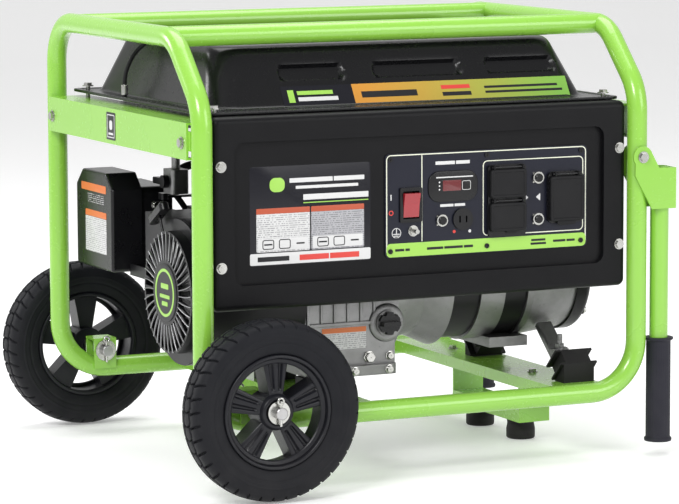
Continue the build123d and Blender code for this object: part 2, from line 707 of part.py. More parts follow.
with BuildPart() as duplex_outlet:
    with BuildSketch(panel_plane(DUPLEX_X, DUPLEX_Z)):
        RectangleRounded(58, 98, 5)
    extrude(amount=5)
    with BuildSketch(panel_plane(DUPLEX_X, DUPLEX_Z)):
        Rectangle(40, 86)
    extrude(amount=-24)
    for face_z in (DUPLEX_Z + 22, DUPLEX_Z - 24):
        with BuildSketch(panel_plane(DUPLEX_X, face_z, PLATE_Y - 5)):
            with Locations((-6.5, 3), (6.5, 3)):
                Rectangle(2.2, 8.5)
            with Locations((0, -7)):
                Circle(2.6)
        extrude(amount=-18, mode=Mode.SUBTRACT)
    for hinge_z in DUPLEX_HINGE_Z:
        hinge_pin(DUPLEX_X, hinge_z, 25, 30)
save(duplex_outlet.part, "duplex_outlet")

for hinge_z, flap_name in zip(DUPLEX_HINGE_Z, ("upper_outlet_cover", "lower_outlet_cover")):
    with BuildPart() as flap:
        with BuildSketch(panel_plane(DUPLEX_X, hinge_z - 22.5, FLAP_BACK_Y)):
            RectangleRounded(55, 39, 4)
        extrude(amount=FLAP_T)
        fillet(flap.faces().sort_by(Axis.Y)[0].edges(), 1.5)
        hinge_ears(DUPLEX_X, hinge_z, 22)
        with BuildSketch(panel_plane(DUPLEX_X + 6, hinge_z - 41, FLAP_BACK_Y)):
            with Locations((0, 0 if hinge_z == DUPLEX_Z else 2)):
                SlotOverall(18, 5 if hinge_z > DUPLEX_Z else 8)
        extrude(amount=3.5)
    save(flap.part, flap_name)

with BuildPart() as twist_lock_outlet:
    with BuildSketch(panel_plane(TWIST_X, TWIST_Z)):
        RectangleRounded(55, 71, 8)
    extrude(amount=5)
    with BuildSketch(panel_plane(TWIST_X, TWIST_Z)):
        Rectangle(44, 58)
    extrude(amount=-24)
    with BuildSketch(panel_plane(TWIST_X, TWIST_Z, PLATE_Y - 5)):
        Circle(20)
        Circle(17.5, mode=Mode.SUBTRACT)
        with PolarLocations(11, 4):
            Rectangle(2.4, 8)
    extrude(amount=-18, mode=Mode.SUBTRACT)
    hinge_pin(TWIST_X, TWIST_HINGE_Z, 22, 26)
save(twist_lock_outlet.part, "twist_lock_outlet")

with BuildPart() as twist_lock_cover:
    with BuildSketch(panel_plane(TWIST_X, TWIST_HINGE_Z - 34, FLAP_BACK_Y)):
        RectangleRounded(52, 62, 7)
    extrude(amount=FLAP_T + 1)
    fillet(twist_lock_cover.faces().sort_by(Axis.Y)[0].edges(), 2)
    hinge_ears(TWIST_X, TWIST_HINGE_Z, 18)
    with BuildSketch(panel_plane(TWIST_X, TWIST_HINGE_Z - 66, FLAP_BACK_Y)):
        SlotOverall(30, 9)
    extrude(amount=3)
save(twist_lock_cover.part, "twist_lock_cover")

# --------------------------------------------------------------------- breakers
breaker_places = (
    ("dc_breaker_button", DC_BUTTON_X, DC_BUTTON_Z),
    ("upper_breaker_button", AC_BUTTON_X, AC_BUTTON_Z[0]),
    ("lower_breaker_button", AC_BUTTON_X, AC_BUTTON_Z[1]),
)
with BuildPart() as breaker_bodies:
    for _, button_x, button_z in breaker_places:
        with BuildSketch(panel_plane(button_x, button_z)):
            Circle(8.2)
        extrude(amount=4)
        with BuildSketch(panel_plane(button_x, button_z)):
            Rectangle(14, 14)
        extrude(amount=-26)
        with BuildSketch(panel_plane(button_x, button_z, PLATE_Y - 4)):
            Circle(BUTTON_R + 0.35)
        extrude(amount=-22, mode=Mode.SUBTRACT)
save(breaker_bodies.part, "breaker_bodies")

for button_name, button_x, button_z in breaker_places:
    with BuildPart() as button:
        with BuildSketch(panel_plane(button_x, button_z, PLATE_Y + 12)):
            Circle(BUTTON_R)
        extrude(amount=12 + 7)
        chamfer(button.faces().sort_by(Axis.Y)[0].edges(), 0.8)
    save(button.part, button_name)

# -------------------------------------------------------------------- fuel tank
def dome_box(shrink, low_z, top_z):
    """A rounded tapering box between two heights, drawn in by shrink all round."""
    length = DOME_TOP_Z - FLANGE_Z
    low_t = (low_z - FLANGE_Z) / length
    top_t = (top_z - FLANGE_Z) / length
    with BuildPart() as dome:
        for level_z, t in ((low_z, low_t), (top_z, top_t)):
            half_x = DOME_BASE_X + (DOME_TOP_X - DOME_BASE_X) * t - shrink
            front_y = DOME_BASE_Y[0] + (DOME_TOP_Y[0] - DOME_BASE_Y[0]) * t + shrink
            rear_y = DOME_BASE_Y[1] + (DOME_TOP_Y[1] - DOME_BASE_Y[1]) * t - shrink
            with BuildSketch(Plane.XY.offset(level_z)):
                with Locations((0, (front_y + rear_y) / 2)):
                    RectangleRounded(2 * half_x, rear_y - front_y, 34)
        loft()
    return dome.part


dome_outer = dome_box(0, FLANGE_Z + FLANGE_T, DOME_TOP_Z)
FACE_SLOPE = atan2(DOME_TOP_Y[0] - DOME_BASE_Y[0], DOME_TOP_Z - FLANGE_Z)
POCKET_Z = 548.0
POCKET_DEPTH = 9.0
POCKET_H = 19.0
POCKETS = ((-128, 95), (32, 132), (191, 106))


def pocket_plane(x):
    """A plane on the dome's sloping front face at the height of the pockets."""
    return Plane(
        origin=(x, DOME_BASE_Y[0] + (POCKET_Z - FLANGE_Z) * tan(FACE_SLOPE), POCKET_Z),
        x_dir=(1, 0, 0),
        z_dir=(0, -cos(FACE_SLOPE), sin(FACE_SLOPE)),
    )


dome_room = dome_box(TANK_SKIN, FLANGE_Z + FLANGE_T, DOME_TOP_Z - TOP_DIP - TANK_SKIN)
with BuildPart() as dome_void:
    add(dome_room)
    for pocket_x, pocket_w in POCKETS:
        with BuildSketch(pocket_plane(pocket_x)):
            Rectangle(pocket_w + 2 * TANK_SKIN, POCKET_H + 2 * TANK_SKIN)
        extrude(amount=-POCKET_DEPTH - TANK_SKIN, mode=Mode.SUBTRACT)
dome_inner = dome_void.part
with BuildPart() as fuel_tank:
    add(dome_outer)
    fillet(fuel_tank.faces().sort_by(Axis.Z)[-1].edges(), 12)
    flange_mid_y = (FLANGE_FRONT_Y + FLANGE_REAR_Y) / 2
    with BuildSketch(Plane.XY.offset(FLANGE_Z)):
        with Locations((0, flange_mid_y)):
            RectangleRounded(2 * FLANGE_X, FLANGE_REAR_Y - FLANGE_FRONT_Y, 12)
    extrude(amount=FLANGE_T)
    with BuildSketch(Plane.XY.offset(FLANGE_Z)):
        with Locations((0, 15)):
            RectangleRounded(2 * DOME_BASE_X - 40, 390, 40)
    extrude(amount=-34, taper=12)
    for pocket_x, pocket_w in POCKETS:
        with BuildSketch(pocket_plane(pocket_x)):
            RectangleRounded(pocket_w, POCKET_H, 6)
        extrude(amount=-POCKET_DEPTH, mode=Mode.SUBTRACT)
    with BuildSketch(Plane.XY.offset(DOME_TOP_Z)):
        with Locations((-5, 42)):
            RectangleRounded(430, 230, 30)
    extrude(amount=-TOP_DIP, mode=Mode.SUBTRACT)
    with BuildSketch(Plane.XY.offset(DOME_TOP_Z - 12)):
        with Locations((CAP_X, CAP_Y)):
            Circle(NECK_R + 5)
    extrude(amount=17)
    add(dome_inner, mode=Mode.SUBTRACT)
    with BuildSketch(Plane.XY.offset(FLANGE_Z + FLANGE_T)):
        with Locations((0, 15)):
            RectangleRounded(2 * DOME_BASE_X - 40 - 2 * TANK_SKIN, 390 - 2 * TANK_SKIN, 38)
    extrude(amount=-FLANGE_T - 32, taper=12, mode=Mode.SUBTRACT)
    with BuildSketch(Plane.XY.offset(DOME_TOP_Z - 40)):
        with Locations((CAP_X, CAP_Y)):
            Circle(NECK_R)
    extrude(amount=60, mode=Mode.SUBTRACT)
    for side in (-1, 1):
        for y_sign in (-1, 1):
            with Locations((side * TANK_BOLT_X, y_sign * TANK_BOLT_Y, FLANGE_Z)):
                Cylinder(3.2, 20, mode=Mode.SUBTRACT)
save(fuel_tank.part, "fuel_tank")

NECK_TOP = DOME_TOP_Z + 5
with BuildPart() as fuel_cap:
    with BuildSketch(Plane.XY.offset(NECK_TOP + 0.5)):
        with Locations((CAP_X, CAP_Y)):
            Circle(CAP_R)
    extrude(amount=6)
    fillet(fuel_cap.faces().sort_by(Axis.Z)[-1].edges(), 2.5)
    with BuildSketch(Plane.XY.offset(NECK_TOP - 9)):
        with Locations((CAP_X, CAP_Y)):
            Circle(NECK_R - 0.4)
            Circle(NECK_R - 4, mode=Mode.SUBTRACT)
    extrude(amount=10)
    with BuildSketch(Plane.XY.offset(NECK_TOP + 6)):
        with Locations((CAP_X, CAP_Y)):
            Circle(4)
    extrude(amount=9)
    with Locations((CAP_X, CAP_Y, NECK_TOP + 9)):
        Box(34, 4, 5)
save(fuel_cap.part, "fuel_cap")

# -------------------------------------------------------------------- vent hose
HOSE_R = 3.0
hose_points = (
    (-300, 72, 500 + FLANGE_T),
    (-300, 72, 536),
    (-287, 66, 566),
    (-262, 50, 589),
    (-222, 20, 593),
)
hose_path = FilletPolyline(*hose_points, radius=(18, 20, 20), mode=Mode.PRIVATE)
with BuildPart() as vent_hose:
    with BuildSketch(Plane(origin=hose_path @ 0, z_dir=hose_path % 0)):
        Circle(HOSE_R)
    sweep(path=hose_path)
    with Locations((-300, 72, 515)):
        Cylinder(5, 12)
save(vent_hose.part, "vent_hose")

# ----------------------------------------------------------------- engine block
cylinder_dir = (0, cos(radians(CYLINDER_TILT)), sin(radians(CYLINDER_TILT)))
block_mid = sum(BLOCK_X) / 2


def barrel_plane(distance):
    """A plane across the cylinder, a given way from the crank's axis."""
    origin = (
        block_mid,
        CRANK_Y + distance * cylinder_dir[1],
        CRANK_Z + distance * cylinder_dir[2],
    )
    return Plane(origin=origin, x_dir=(1, 0, 0), z_dir=cylinder_dir)


with BuildPart() as engine_block:
    with BuildSketch(across(BLOCK_X[0], CRANK_Y, CRANK_Z)):
        RectangleRounded(BLOCK_DEPTH, BLOCK_HEIGHT, BLOCK_CORNER)
    extrude(amount=BLOCK_X[1] - BLOCK_X[0])
    with BuildSketch(Plane.XY.offset(ENGINE_FOOT_Z)):
        with Locations((block_mid, CRANK_Y)):
            RectangleRounded(132, 190, 10)
    extrude(amount=14)
    with BuildSketch(Plane.XY.offset(ENGINE_FOOT_Z + 10)):
        with Locations((block_mid, CRANK_Y)):
            Rectangle(PEDESTAL_X, BLOCK_DEPTH)
    extrude(amount=PEDESTAL_H)
    with BuildSketch(barrel_plane(70)):
        Circle(BORE_R + 9)
    extrude(amount=CYLINDER_LENGTH - 70)
    for fin in range(7):
        with BuildSketch(barrel_plane(88 + 9 * fin)):
            RectangleRounded(112, 116, 16)
        extrude(amount=3)
    with BuildSketch(across(BLOCK_X[0] + 8, CRANK_Y, CRANK_Z)):
        RectangleRounded(BLOCK_DEPTH - 20, BLOCK_HEIGHT - 20, BLOCK_CORNER - 8)
    extrude(amount=BLOCK_X[1] - BLOCK_X[0] - 16, mode=Mode.SUBTRACT)
    with BuildSketch(barrel_plane(40)):
        Circle(BORE_R)
    extrude(amount=CYLINDER_LENGTH, mode=Mode.SUBTRACT)
    with BuildSketch(across(BLOCK_X[0] - 10, CRANK_Y, CRANK_Z)):
        Circle(SHAFT_R + 0.06)
    extrude(amount=200, mode=Mode.SUBTRACT)
    with BuildSketch(Plane(origin=(FILLER_X, FILLER_Y, FILLER_Z), x_dir=(1, 0, 0), z_dir=(0, -1, 0))):
        Circle(18)
    extrude(amount=26)
    with BuildSketch(Plane(origin=(FILLER_X, FILLER_Y - 26, FILLER_Z), x_dir=(1, 0, 0), z_dir=(0, -1, 0))):
        Circle(10.06)
    extrude(amount=-24, mode=Mode.SUBTRACT)
save(engine_block.part, "engine_block")

with BuildPart() as oil_filler_plug:
    filler = Plane(origin=(FILLER_X, FILLER_Y - 26.4, FILLER_Z), x_dir=(1, 0, 0), z_dir=(0, -1, 0))
    with BuildSketch(filler):
        Circle(16)
        with PolarLocations(16, 6):
            Circle(3.2, mode=Mode.SUBTRACT)
    extrude(amount=6)
    with BuildSketch(filler.offset(6)):
        Rectangle(26, 6)
    extrude(amount=7)
    with BuildSketch(filler):
        Circle(10)
    extrude(amount=-20)
save(oil_filler_plug.part, "oil_filler_plug")

with BuildPart() as cylinder_head:
    with BuildSketch(barrel_plane(CYLINDER_LENGTH)):
        RectangleRounded(112, 118, 12)
    extrude(amount=HEAD_H)
    for fin in range(6):
        with BuildSketch(barrel_plane(CYLINDER_LENGTH + 4 + 5 * fin)):
            Rectangle(120, 128)
            Rectangle(96, 104, mode=Mode.SUBTRACT)
        extrude(amount=2)
    for port_x, port_l in ((block_mid - 74, 30), (block_mid + 46, 26)):
        with BuildSketch(across(port_x, PORT_Y, PORT_Z)):
            Circle(PORT_R)
            Circle(PORT_R - 3, mode=Mode.SUBTRACT)
        extrude(amount=port_l)
save(cylinder_head.part, "cylinder_head")

with BuildPart() as valve_cover:
    with BuildSketch(barrel_plane(CYLINDER_LENGTH + HEAD_H)):
        RectangleRounded(98, 104, 14)
    extrude(amount=4)
    with BuildSketch(barrel_plane(CYLINDER_LENGTH + HEAD_H + 4)):
        RectangleRounded(88, 92, 14)
    extrude(amount=28, taper=6)
    with BuildSketch(barrel_plane(CYLINDER_LENGTH + HEAD_H)):
        RectangleRounded(80, 84, 12)
    extrude(amount=28, mode=Mode.SUBTRACT)
save(valve_cover.part, "valve_cover")

# ------------------------------------------------------ fan shroud, recoil cover
with BuildPart() as fan_shroud:
    with BuildSketch(across(SHROUD_X[0], CRANK_Y, CRANK_Z)):
        Circle(SHROUD_R)
        with Locations((92, 50)):
            Rectangle(184, 96)
    extrude(amount=SHROUD_X[1] - SHROUD_X[0])
    with BuildSketch(across(SHROUD_X[0] + 3, CRANK_Y, CRANK_Z)):
        Circle(SHROUD_R - 3)
        with Locations((91, 50)):
            Rectangle(180, 90)
    extrude(amount=SHROUD_X[1] - SHROUD_X[0], mode=Mode.SUBTRACT)
    with BuildSketch(across(SHROUD_X[0] - 1, CRANK_Y, CRANK_Z)):
        Circle(RECOIL_R - 8)
    extrude(amount=6, mode=Mode.SUBTRACT)
    with Locations((-212, 100, 345)):
        Box(150, 120, 160, mode=Mode.SUBTRACT)
save(fan_shroud.part, "fan_shroud")

GRIP_PLANE = Plane(
    origin=(-296, CRANK_Y + 40, CRANK_Z + 92), x_dir=(1, 0, 0), z_dir=(0, 0.5, 0.866)
)
ROPE_R = 2.0
ROPE_INSIDE = 90.0
with BuildPart() as recoil_cover:
    dish = across(SHROUD_X[0], CRANK_Y, CRANK_Z)
    with BuildSketch(across(RECOIL_X, CRANK_Y, CRANK_Z)):
        Circle(45)
    extrude(amount=3)
    with BuildSketch(dish.offset(-3)):
        Circle(RECOIL_R + 8)
        Circle(RECOIL_R - 12, mode=Mode.SUBTRACT)
    extrude(amount=3)
    with BuildSketch(dish.offset(RECOIL_X - SHROUD_X[0] + 3)):
        with PolarLocations(0, 36):
            with Locations((63, 0)):
                Rectangle(40, 3.2)
    extrude(amount=3)
    with BuildSketch(dish.offset(-19)):
        Circle(RECOIL_R - 8)
        Circle(RECOIL_R - 12, mode=Mode.SUBTRACT)
    extrude(amount=19)
    with BuildSketch(across(RECOIL_X + 3, CRANK_Y, CRANK_Z)):
        Circle(10)
    extrude(amount=12)
    with BuildSketch(GRIP_PLANE.offset(-ROPE_INSIDE / 2)):
        Circle(ROPE_R + 0.4)
    extrude(amount=ROPE_INSIDE / 2, mode=Mode.SUBTRACT)
save(recoil_cover.part, "recoil_cover")

# ----------------------------------------------------------------- starter grip
with BuildPart() as starter_grip:
    with BuildSketch(GRIP_PLANE.offset(-ROPE_INSIDE)):
        Circle(ROPE_R)
    extrude(amount=ROPE_INSIDE + 16)
    with BuildSketch(GRIP_PLANE.offset(8)):
        RectangleRounded(14, 54, 6.5)
    extrude(amount=13)
    fillet(starter_grip.faces().group_by(Axis((0, 0, 0), (0, 0.5, 0.866)))[-1].edges(), 4)
save(starter_grip.part, "starter_grip")

# ---------------------------------------------------------------- rotating parts
with BuildPart() as crankshaft:
    for start_x, end_x, radius in (
        (-290, BLOCK_X[0] + 10, SHAFT_R - 2),
        (BLOCK_X[0] - 2, block_mid - 26, SHAFT_R),
        (block_mid + 26, 90, SHAFT_R),
        (90, END_X - 14, SHAFT_R - 2.5),
    ):
        with BuildSketch(across(start_x, CRANK_Y, CRANK_Z)):
            Circle(radius)
        extrude(amount=end_x - start_x)
    for web_x in (block_mid - 27, block_mid + 15):
        with BuildSketch(across(web_x, CRANK_Y, CRANK_Z)):
            with Locations((CRANK_THROW / 2, 0)):
                SlotCenterToCenter(CRANK_THROW, 46)
        extrude(amount=12)
    with BuildSketch(across(block_mid - 16, CRANK_Y + CRANK_THROW, CRANK_Z)):
        Circle(15)
    extrude(amount=32)
save(crankshaft.part, "crankshaft")

with BuildPart() as flywheel_fan:
    with BuildSketch(across(-236, CRANK_Y, CRANK_Z)):
        Circle(78)
        Circle(SHAFT_R - 2, mode=Mode.SUBTRACT)
    extrude(amount=22)
    with BuildSketch(across(-262, CRANK_Y, CRANK_Z)):
        with PolarLocations(0, 16):
            with Locations((64, 0)):
                Rectangle(34, 3, rotation=24)
    extrude(amount=26)
    with BuildSketch(across(-266, CRANK_Y, CRANK_Z)):
        Circle(42)
        Circle(SHAFT_R - 2, mode=Mode.SUBTRACT)
    extrude(amount=30)
save(flywheel_fan.part, "flywheel_fan")

with BuildPart() as rotor:
    with BuildSketch(across(102, CRANK_Y, CRANK_Z)):
        Circle(ROTOR_R)
        Circle(SHAFT_R - 2.5, mode=Mode.SUBTRACT)
    extrude(amount=104)
    with BuildSketch(across(230, CRANK_Y, CRANK_Z)):
        Circle(24)
        Circle(SHAFT_R - 2.5, mode=Mode.SUBTRACT)
    extrude(amount=26)
save(rotor.part, "rotor")

# ------------------------------------------------------------------- alternator
with BuildPart() as alternator_housing:
    for start_x, end_x, start_r, end_r in ((BLOCK_X[1], 50, 84, 80), (50, STATOR_X[0], 80, 96)):
        with BuildSketch(across(start_x, CRANK_Y, CRANK_Z)):
            Circle(start_r)
        with BuildSketch(across(end_x, CRANK_Y, CRANK_Z)):
            Circle(end_r)
        loft()
    for start_x, end_x, start_r, end_r in ((BLOCK_X[1] - 1, 50, 76, 72), (50, STATOR_X[0] + 1, 72, 84)):
        with BuildSketch(across(start_x, CRANK_Y, CRANK_Z)):
            Circle(start_r)
        with BuildSketch(across(end_x, CRANK_Y, CRANK_Z)):
            Circle(end_r)
        loft(mode=Mode.SUBTRACT)
save(alternator_housing.part, "alternator_housing")

with BuildPart() as stator:
    with BuildSketch(across(STATOR_X[0], CRANK_Y, CRANK_Z)):
        Circle(STATOR_R)
        Circle(ROTOR_R + 2, mode=Mode.SUBTRACT)
    extrude(amount=STATOR_X[1] - STATOR_X[0])
save(stator.part, "stator")

with BuildPart() as end_bell:
    with BuildSketch(across(BELL_X[0], CRANK_Y, CRANK_Z)):
        Circle(STATOR_R + 4)
    with BuildSketch(across(BELL_X[1], CRANK_Y, CRANK_Z)):
        Circle(STATOR_R - 4)
    loft()
    with BuildSketch(across(BELL_X[0] - 1, CRANK_Y, CRANK_Z)):
        Circle(STATOR_R - 6)
    extrude(amount=BELL_X[1] - BELL_X[0] - 7, mode=Mode.SUBTRACT)
    with BuildSketch(across(BELL_X[1] - 10, CRANK_Y, CRANK_Z)):
        Circle(SHAFT_R - 2.5 + 0.06)
    extrude(amount=20, mode=Mode.SUBTRACT)
    with BuildSketch(across(132, CRANK_Y, CRANK_Z)):
        Circle(STATOR_R + 4)
        Circle(STATOR_R, mode=Mode.SUBTRACT)
    extrude(amount=38)
    with BuildSketch(across(206, CRANK_Y, CRANK_Z)):
        Circle(STATOR_R + 4)
        Circle(STATOR_R, mode=Mode.SUBTRACT)
    extrude(amount=10)
    with BuildSketch(across(160, CRANK_Y, CRANK_Z)):
        with Locations((0, -STATOR_R - 4)):
            Rectangle(120, 14)
        Circle(STATOR_R, mode=Mode.SUBTRACT)
    extrude(amount=60)
    for y_sign in (-1, 1):
        arm = Plane(
            origin=(MOUNT_X - 6, CRANK_Y + y_sign * 56, CRANK_Z - 72),
            x_dir=(1, 0, 0),
            z_dir=(0, y_sign * 48, -41),
        )
        with BuildSketch(arm):
            RectangleRounded(24, 11, 3)
        extrude(amount=64)
        with BuildSketch(Plane.XY.offset(133)):
            with Locations((MOUNT_X - 6, CRANK_Y + y_sign * STUD_DY)):
                Circle(13)
        extrude(amount=14)
        with BuildSketch(mount_plane(y_sign, MOUNT_GAP)):
            with Locations((-6, 0)):
                Circle(9)
        extrude(amount=12)
        with BuildSketch(Plane.XY.offset(147)):
            with Locations((MOUNT_X - 6, CRANK_Y + y_sign * STUD_DY)):
                Circle(4)
        extrude(amount=20)
        with BuildSketch(Plane.XY.offset(147)):
            with Locations((MOUNT_X - 6, CRANK_Y + y_sign * STUD_DY)):
                RegularPolygon(7, 6)
        extrude(amount=7)
save(end_bell.part, "end_bell")

with BuildPart() as end_cover:
    with BuildSketch(across(BELL_X[1], CRANK_Y, CRANK_Z)):
        Circle(STATOR_R - 1)
    extrude(amount=END_X - BELL_X[1])
    fillet(end_cover.faces().sort_by(Axis.X)[-1].edges(), 8)
    with BuildSketch(across(BELL_X[1] - 1, CRANK_Y, CRANK_Z)):
        Circle(STATOR_R - 4)
    extrude(amount=END_X - BELL_X[1] - 2, mode=Mode.SUBTRACT)
    with BuildSketch(across(END_X - 6, CRANK_Y, CRANK_Z)):
        with PolarLocations(46, 12):
            SlotOverall(44, 6)
    extrude(amount=12, mode=Mode.SUBTRACT)
save(end_cover.part, "end_cover")

# ---------------------------------------------------------------- rubber mounts
with BuildPart() as rubber_mounts:
    for y_sign in (-1, 1):
        mount_y = CRANK_Y + y_sign * MOUNT_DY
        with BuildSketch(across(MOUNT_X - 24, 0, 0)):
            with BuildLine():
                Polyline(
                    (mount_y + y_sign * 12.7, MOUNT_RAIL_TOP),
                    (mount_y + y_sign * 12.7, MOUNT_RAIL_TOP + 26.7),
                    (mount_y - y_sign * 12.7, MOUNT_RAIL_TOP + 1.3),
                    (mount_y - y_sign * 12.7, MOUNT_RAIL_TOP),
                    close=True,
                )
            make_face()
        extrude(amount=48)
        for plate_offset, plate_w, plate_t in ((0, 58, 3), (3, 40, MOUNT_GAP - 6), (MOUNT_GAP - 3, 58, 3)):
            with BuildSketch(mount_plane(y_sign, plate_offset)):
                Rectangle(plate_w, 36)
            extrude(amount=plate_t)
    for mount_y in (CRANK_Y - 70, CRANK_Y + 70):
        with BuildSketch(Plane.XY.offset(MOUNT_RAIL_TOP)):
            with Locations((ENGINE_RAIL_X, mount_y)):
                Rectangle(50, 34)
        extrude(amount=ENGINE_FOOT_Z - MOUNT_RAIL_TOP)
save(rubber_mounts.part, "rubber_mounts")

# ------------------------------------------------------- carburettor and controls
VALVE_X = -240.0
VALVE_Y = 34.0
VALVE_Z = 386.0
CHOKE_X = -200.0
CHOKE_Z = PORT_Z + 42
CARB_X = -212.0
with BuildPart() as carburettor:
    with BuildSketch(across(CARB_X, PORT_Y, PORT_Z)):
        Circle(18)
        Circle(PORT_R - 3, mode=Mode.SUBTRACT)
    extrude(amount=block_mid - 74 - CARB_X)
    with BuildSketch(Plane.XY.offset(PORT_Z - 41)):
        with Locations((-188, PORT_Y)):
            Circle(18)
    extrude(amount=30)
    with BuildSketch(Plane.XY.offset(PORT_Z + 12)):
        with Locations((-188, PORT_Y)):
            RectangleRounded(34, 30, 4)
    extrude(amount=16)
    with BuildSketch(Plane.XY.offset(PORT_Z + 28)):
        with Locations((CHOKE_X, PORT_Y)):
            Circle(3)
    extrude(amount=20)
    with BuildSketch(Plane.XY.offset(VALVE_Z - 17)):
        with Locations((VALVE_X, VALVE_Y)):
            RectangleRounded(26, 36, 5)
    extrude(amount=34)
    with BuildSketch(Plane.XY.offset(VALVE_Z)):
        with Locations((VALVE_X, VALVE_Y)):
            Circle(6)
    extrude(amount=FLANGE_Z - 34 - VALVE_Z)
    with BuildSketch(across(VALVE_X - 13, VALVE_Y, VALVE_Z)):
        Circle(4)
    extrude(amount=-6)
save(carburettor.part, "carburettor")

with BuildPart() as choke_lever:
    with BuildSketch(Plane.XY.offset(CHOKE_Z)):
        with Locations((CHOKE_X, PORT_Y)):
            Circle(8)
        with Locations((CHOKE_X - 28, PORT_Y)):
            Rectangle(42, 8)
    extrude(amount=3)
    with BuildSketch(Plane.XY.offset(CHOKE_Z - 2)):
        with Locations((CHOKE_X - 46, PORT_Y)):
            RectangleRounded(10, 16, 3)
    extrude(amount=9)
    with Locations((CHOKE_X, PORT_Y, CHOKE_Z)):
        Cylinder(3 + AXLE_FIT, 20, mode=Mode.SUBTRACT)
save(choke_lever.part, "choke_lever")

with BuildPart() as fuel_valve_lever:
    with BuildSketch(across(VALVE_X - 13.5, VALVE_Y, VALVE_Z)):
        Circle(9)
        with Locations((15, 0)):
            RectangleRounded(36, 9, 3)
    extrude(amount=-8)
    with BuildSketch(across(VALVE_X - 13.5, VALVE_Y, VALVE_Z)):
        Circle(4 + AXLE_FIT)
    extrude(amount=-6, mode=Mode.SUBTRACT)
save(fuel_valve_lever.part, "fuel_valve_lever")

# ------------------------------------------------------------------ air cleaner
AIR_Y = (106.0, 244.0)
with BuildPart() as air_cleaner_base:
    with BuildSketch(across(-262, 0, 0)):
        with Locations((sum(AIR_Y) / 2, 312)):
            RectangleRounded(AIR_Y[1] - AIR_Y[0] - 8, 118, 12)
    extrude(amount=48)
    with BuildSketch(across(-262, 0, 0)):
        with Locations((sum(AIR_Y) / 2, 312)):
            RectangleRounded(AIR_Y[1] - AIR_Y[0] - 14, 112, 10)
    extrude(amount=45, mode=Mode.SUBTRACT)
    with Locations((CARB_X - 12, 85, PORT_Z)):
        Box(24, 84, 40)
save(air_cleaner_base.part, "air_cleaner_base")

with BuildPart() as air_cleaner_cover:
    with BuildSketch(across(-308, 0, 0)):
        with BuildLine():
            Polyline(
                (AIR_Y[0], 252),
                (AIR_Y[1], 252),
                (AIR_Y[1], 369),
                (AIR_Y[1] - 24, 391),
                (AIR_Y[0] + 24, 391),
                (AIR_Y[0], 369),
                close=True,
            )
        make_face()
    extrude(amount=46)
    fillet(air_cleaner_cover.edges().filter_by(Axis.X), 6)
    fillet(air_cleaner_cover.faces().sort_by(Axis.X)[0].edges(), 4)
    with BuildSketch(across(-305, 0, 0)):
        with Locations((sum(AIR_Y) / 2, 314)):
            RectangleRounded(AIR_Y[1] - AIR_Y[0] - 6, 118, 8)
    extrude(amount=60, mode=Mode.SUBTRACT)
save(air_cleaner_cover.part, "air_cleaner_cover")

# ---------------------------------------------------------------------- muffler
MUFFLER_Y = 105.0
MUFFLER_Z = 345.0
with BuildPart() as muffler:
    with BuildSketch(across(30, MUFFLER_Y, MUFFLER_Z)):
        RectangleRounded(120, 110, 30)
    extrude(amount=190)
    fillet(muffler.faces().sort_by(Axis.X)[0].edges(), 8)
    fillet(muffler.faces().sort_by(Axis.X)[-1].edges(), 8)
    with BuildSketch(across(33, MUFFLER_Y, MUFFLER_Z)):
        RectangleRounded(114, 104, 27)
    extrude(amount=184, mode=Mode.SUBTRACT)
    with BuildSketch(across(block_mid + 72, PORT_Y, PORT_Z)):
        Circle(PORT_R)
        Circle(PORT_R - 3, mode=Mode.SUBTRACT)
    extrude(amount=26)
    with BuildSketch(outward(1, 190, MUFFLER_Y + 58, MUFFLER_Z)):
        Circle(13)
        Circle(11, mode=Mode.SUBTRACT)
    extrude(amount=42)
    with BuildSketch(across(44, MUFFLER_Y, MUFFLER_Z)):
        RectangleRounded(144, 134, 40)
        RectangleRounded(140, 130, 38, mode=Mode.SUBTRACT)
        with Locations((0, -60)):
            Rectangle(150, 60, mode=Mode.SUBTRACT)
    extrude(amount=162)
    for post_x in (60, 190):
        with Locations((post_x, MUFFLER_Y, MUFFLER_Z + 60)):
            Cylinder(4, 12)
    with Locations((125, MUFFLER_Y, MUFFLER_Z + 66)):
        with GridLocations(14, 40, 10, 2):
            Box(6, 30, 8, mode=Mode.SUBTRACT)
    with Locations((125, MUFFLER_Y + 71, MUFFLER_Z + 10)):
        with GridLocations(14, 1, 10, 1):
            Box(6, 8, 40, mode=Mode.SUBTRACT)
save(muffler.part, "muffler")
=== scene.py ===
"""Looks of an open-frame portable generator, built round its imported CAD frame.

Every new piece is a surface computed with numpy, in metres, in the CAD frame:
+Z up, the control panel faces -Y, the wheels are at -X and the fold-down
handles at +X.
"""

import json
import logging
from dataclasses import dataclass, field
from enum import Enum

import bpy
import numpy as np
from mathutils import Matrix


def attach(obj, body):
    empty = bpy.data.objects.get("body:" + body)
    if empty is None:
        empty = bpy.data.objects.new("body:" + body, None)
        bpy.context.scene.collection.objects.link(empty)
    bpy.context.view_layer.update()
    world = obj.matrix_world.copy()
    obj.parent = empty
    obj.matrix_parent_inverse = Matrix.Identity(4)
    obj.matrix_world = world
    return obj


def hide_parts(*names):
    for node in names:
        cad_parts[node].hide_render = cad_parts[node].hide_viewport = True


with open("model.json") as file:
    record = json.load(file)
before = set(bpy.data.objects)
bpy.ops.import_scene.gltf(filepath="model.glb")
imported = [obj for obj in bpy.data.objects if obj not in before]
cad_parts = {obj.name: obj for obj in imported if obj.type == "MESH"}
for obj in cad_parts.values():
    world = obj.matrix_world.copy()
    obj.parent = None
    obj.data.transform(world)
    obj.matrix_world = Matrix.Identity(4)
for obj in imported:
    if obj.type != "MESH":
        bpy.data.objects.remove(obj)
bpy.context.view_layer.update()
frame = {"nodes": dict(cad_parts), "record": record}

LOG = logging.getLogger("generator")
MM = 0.001
Colour = tuple[float, float, float]
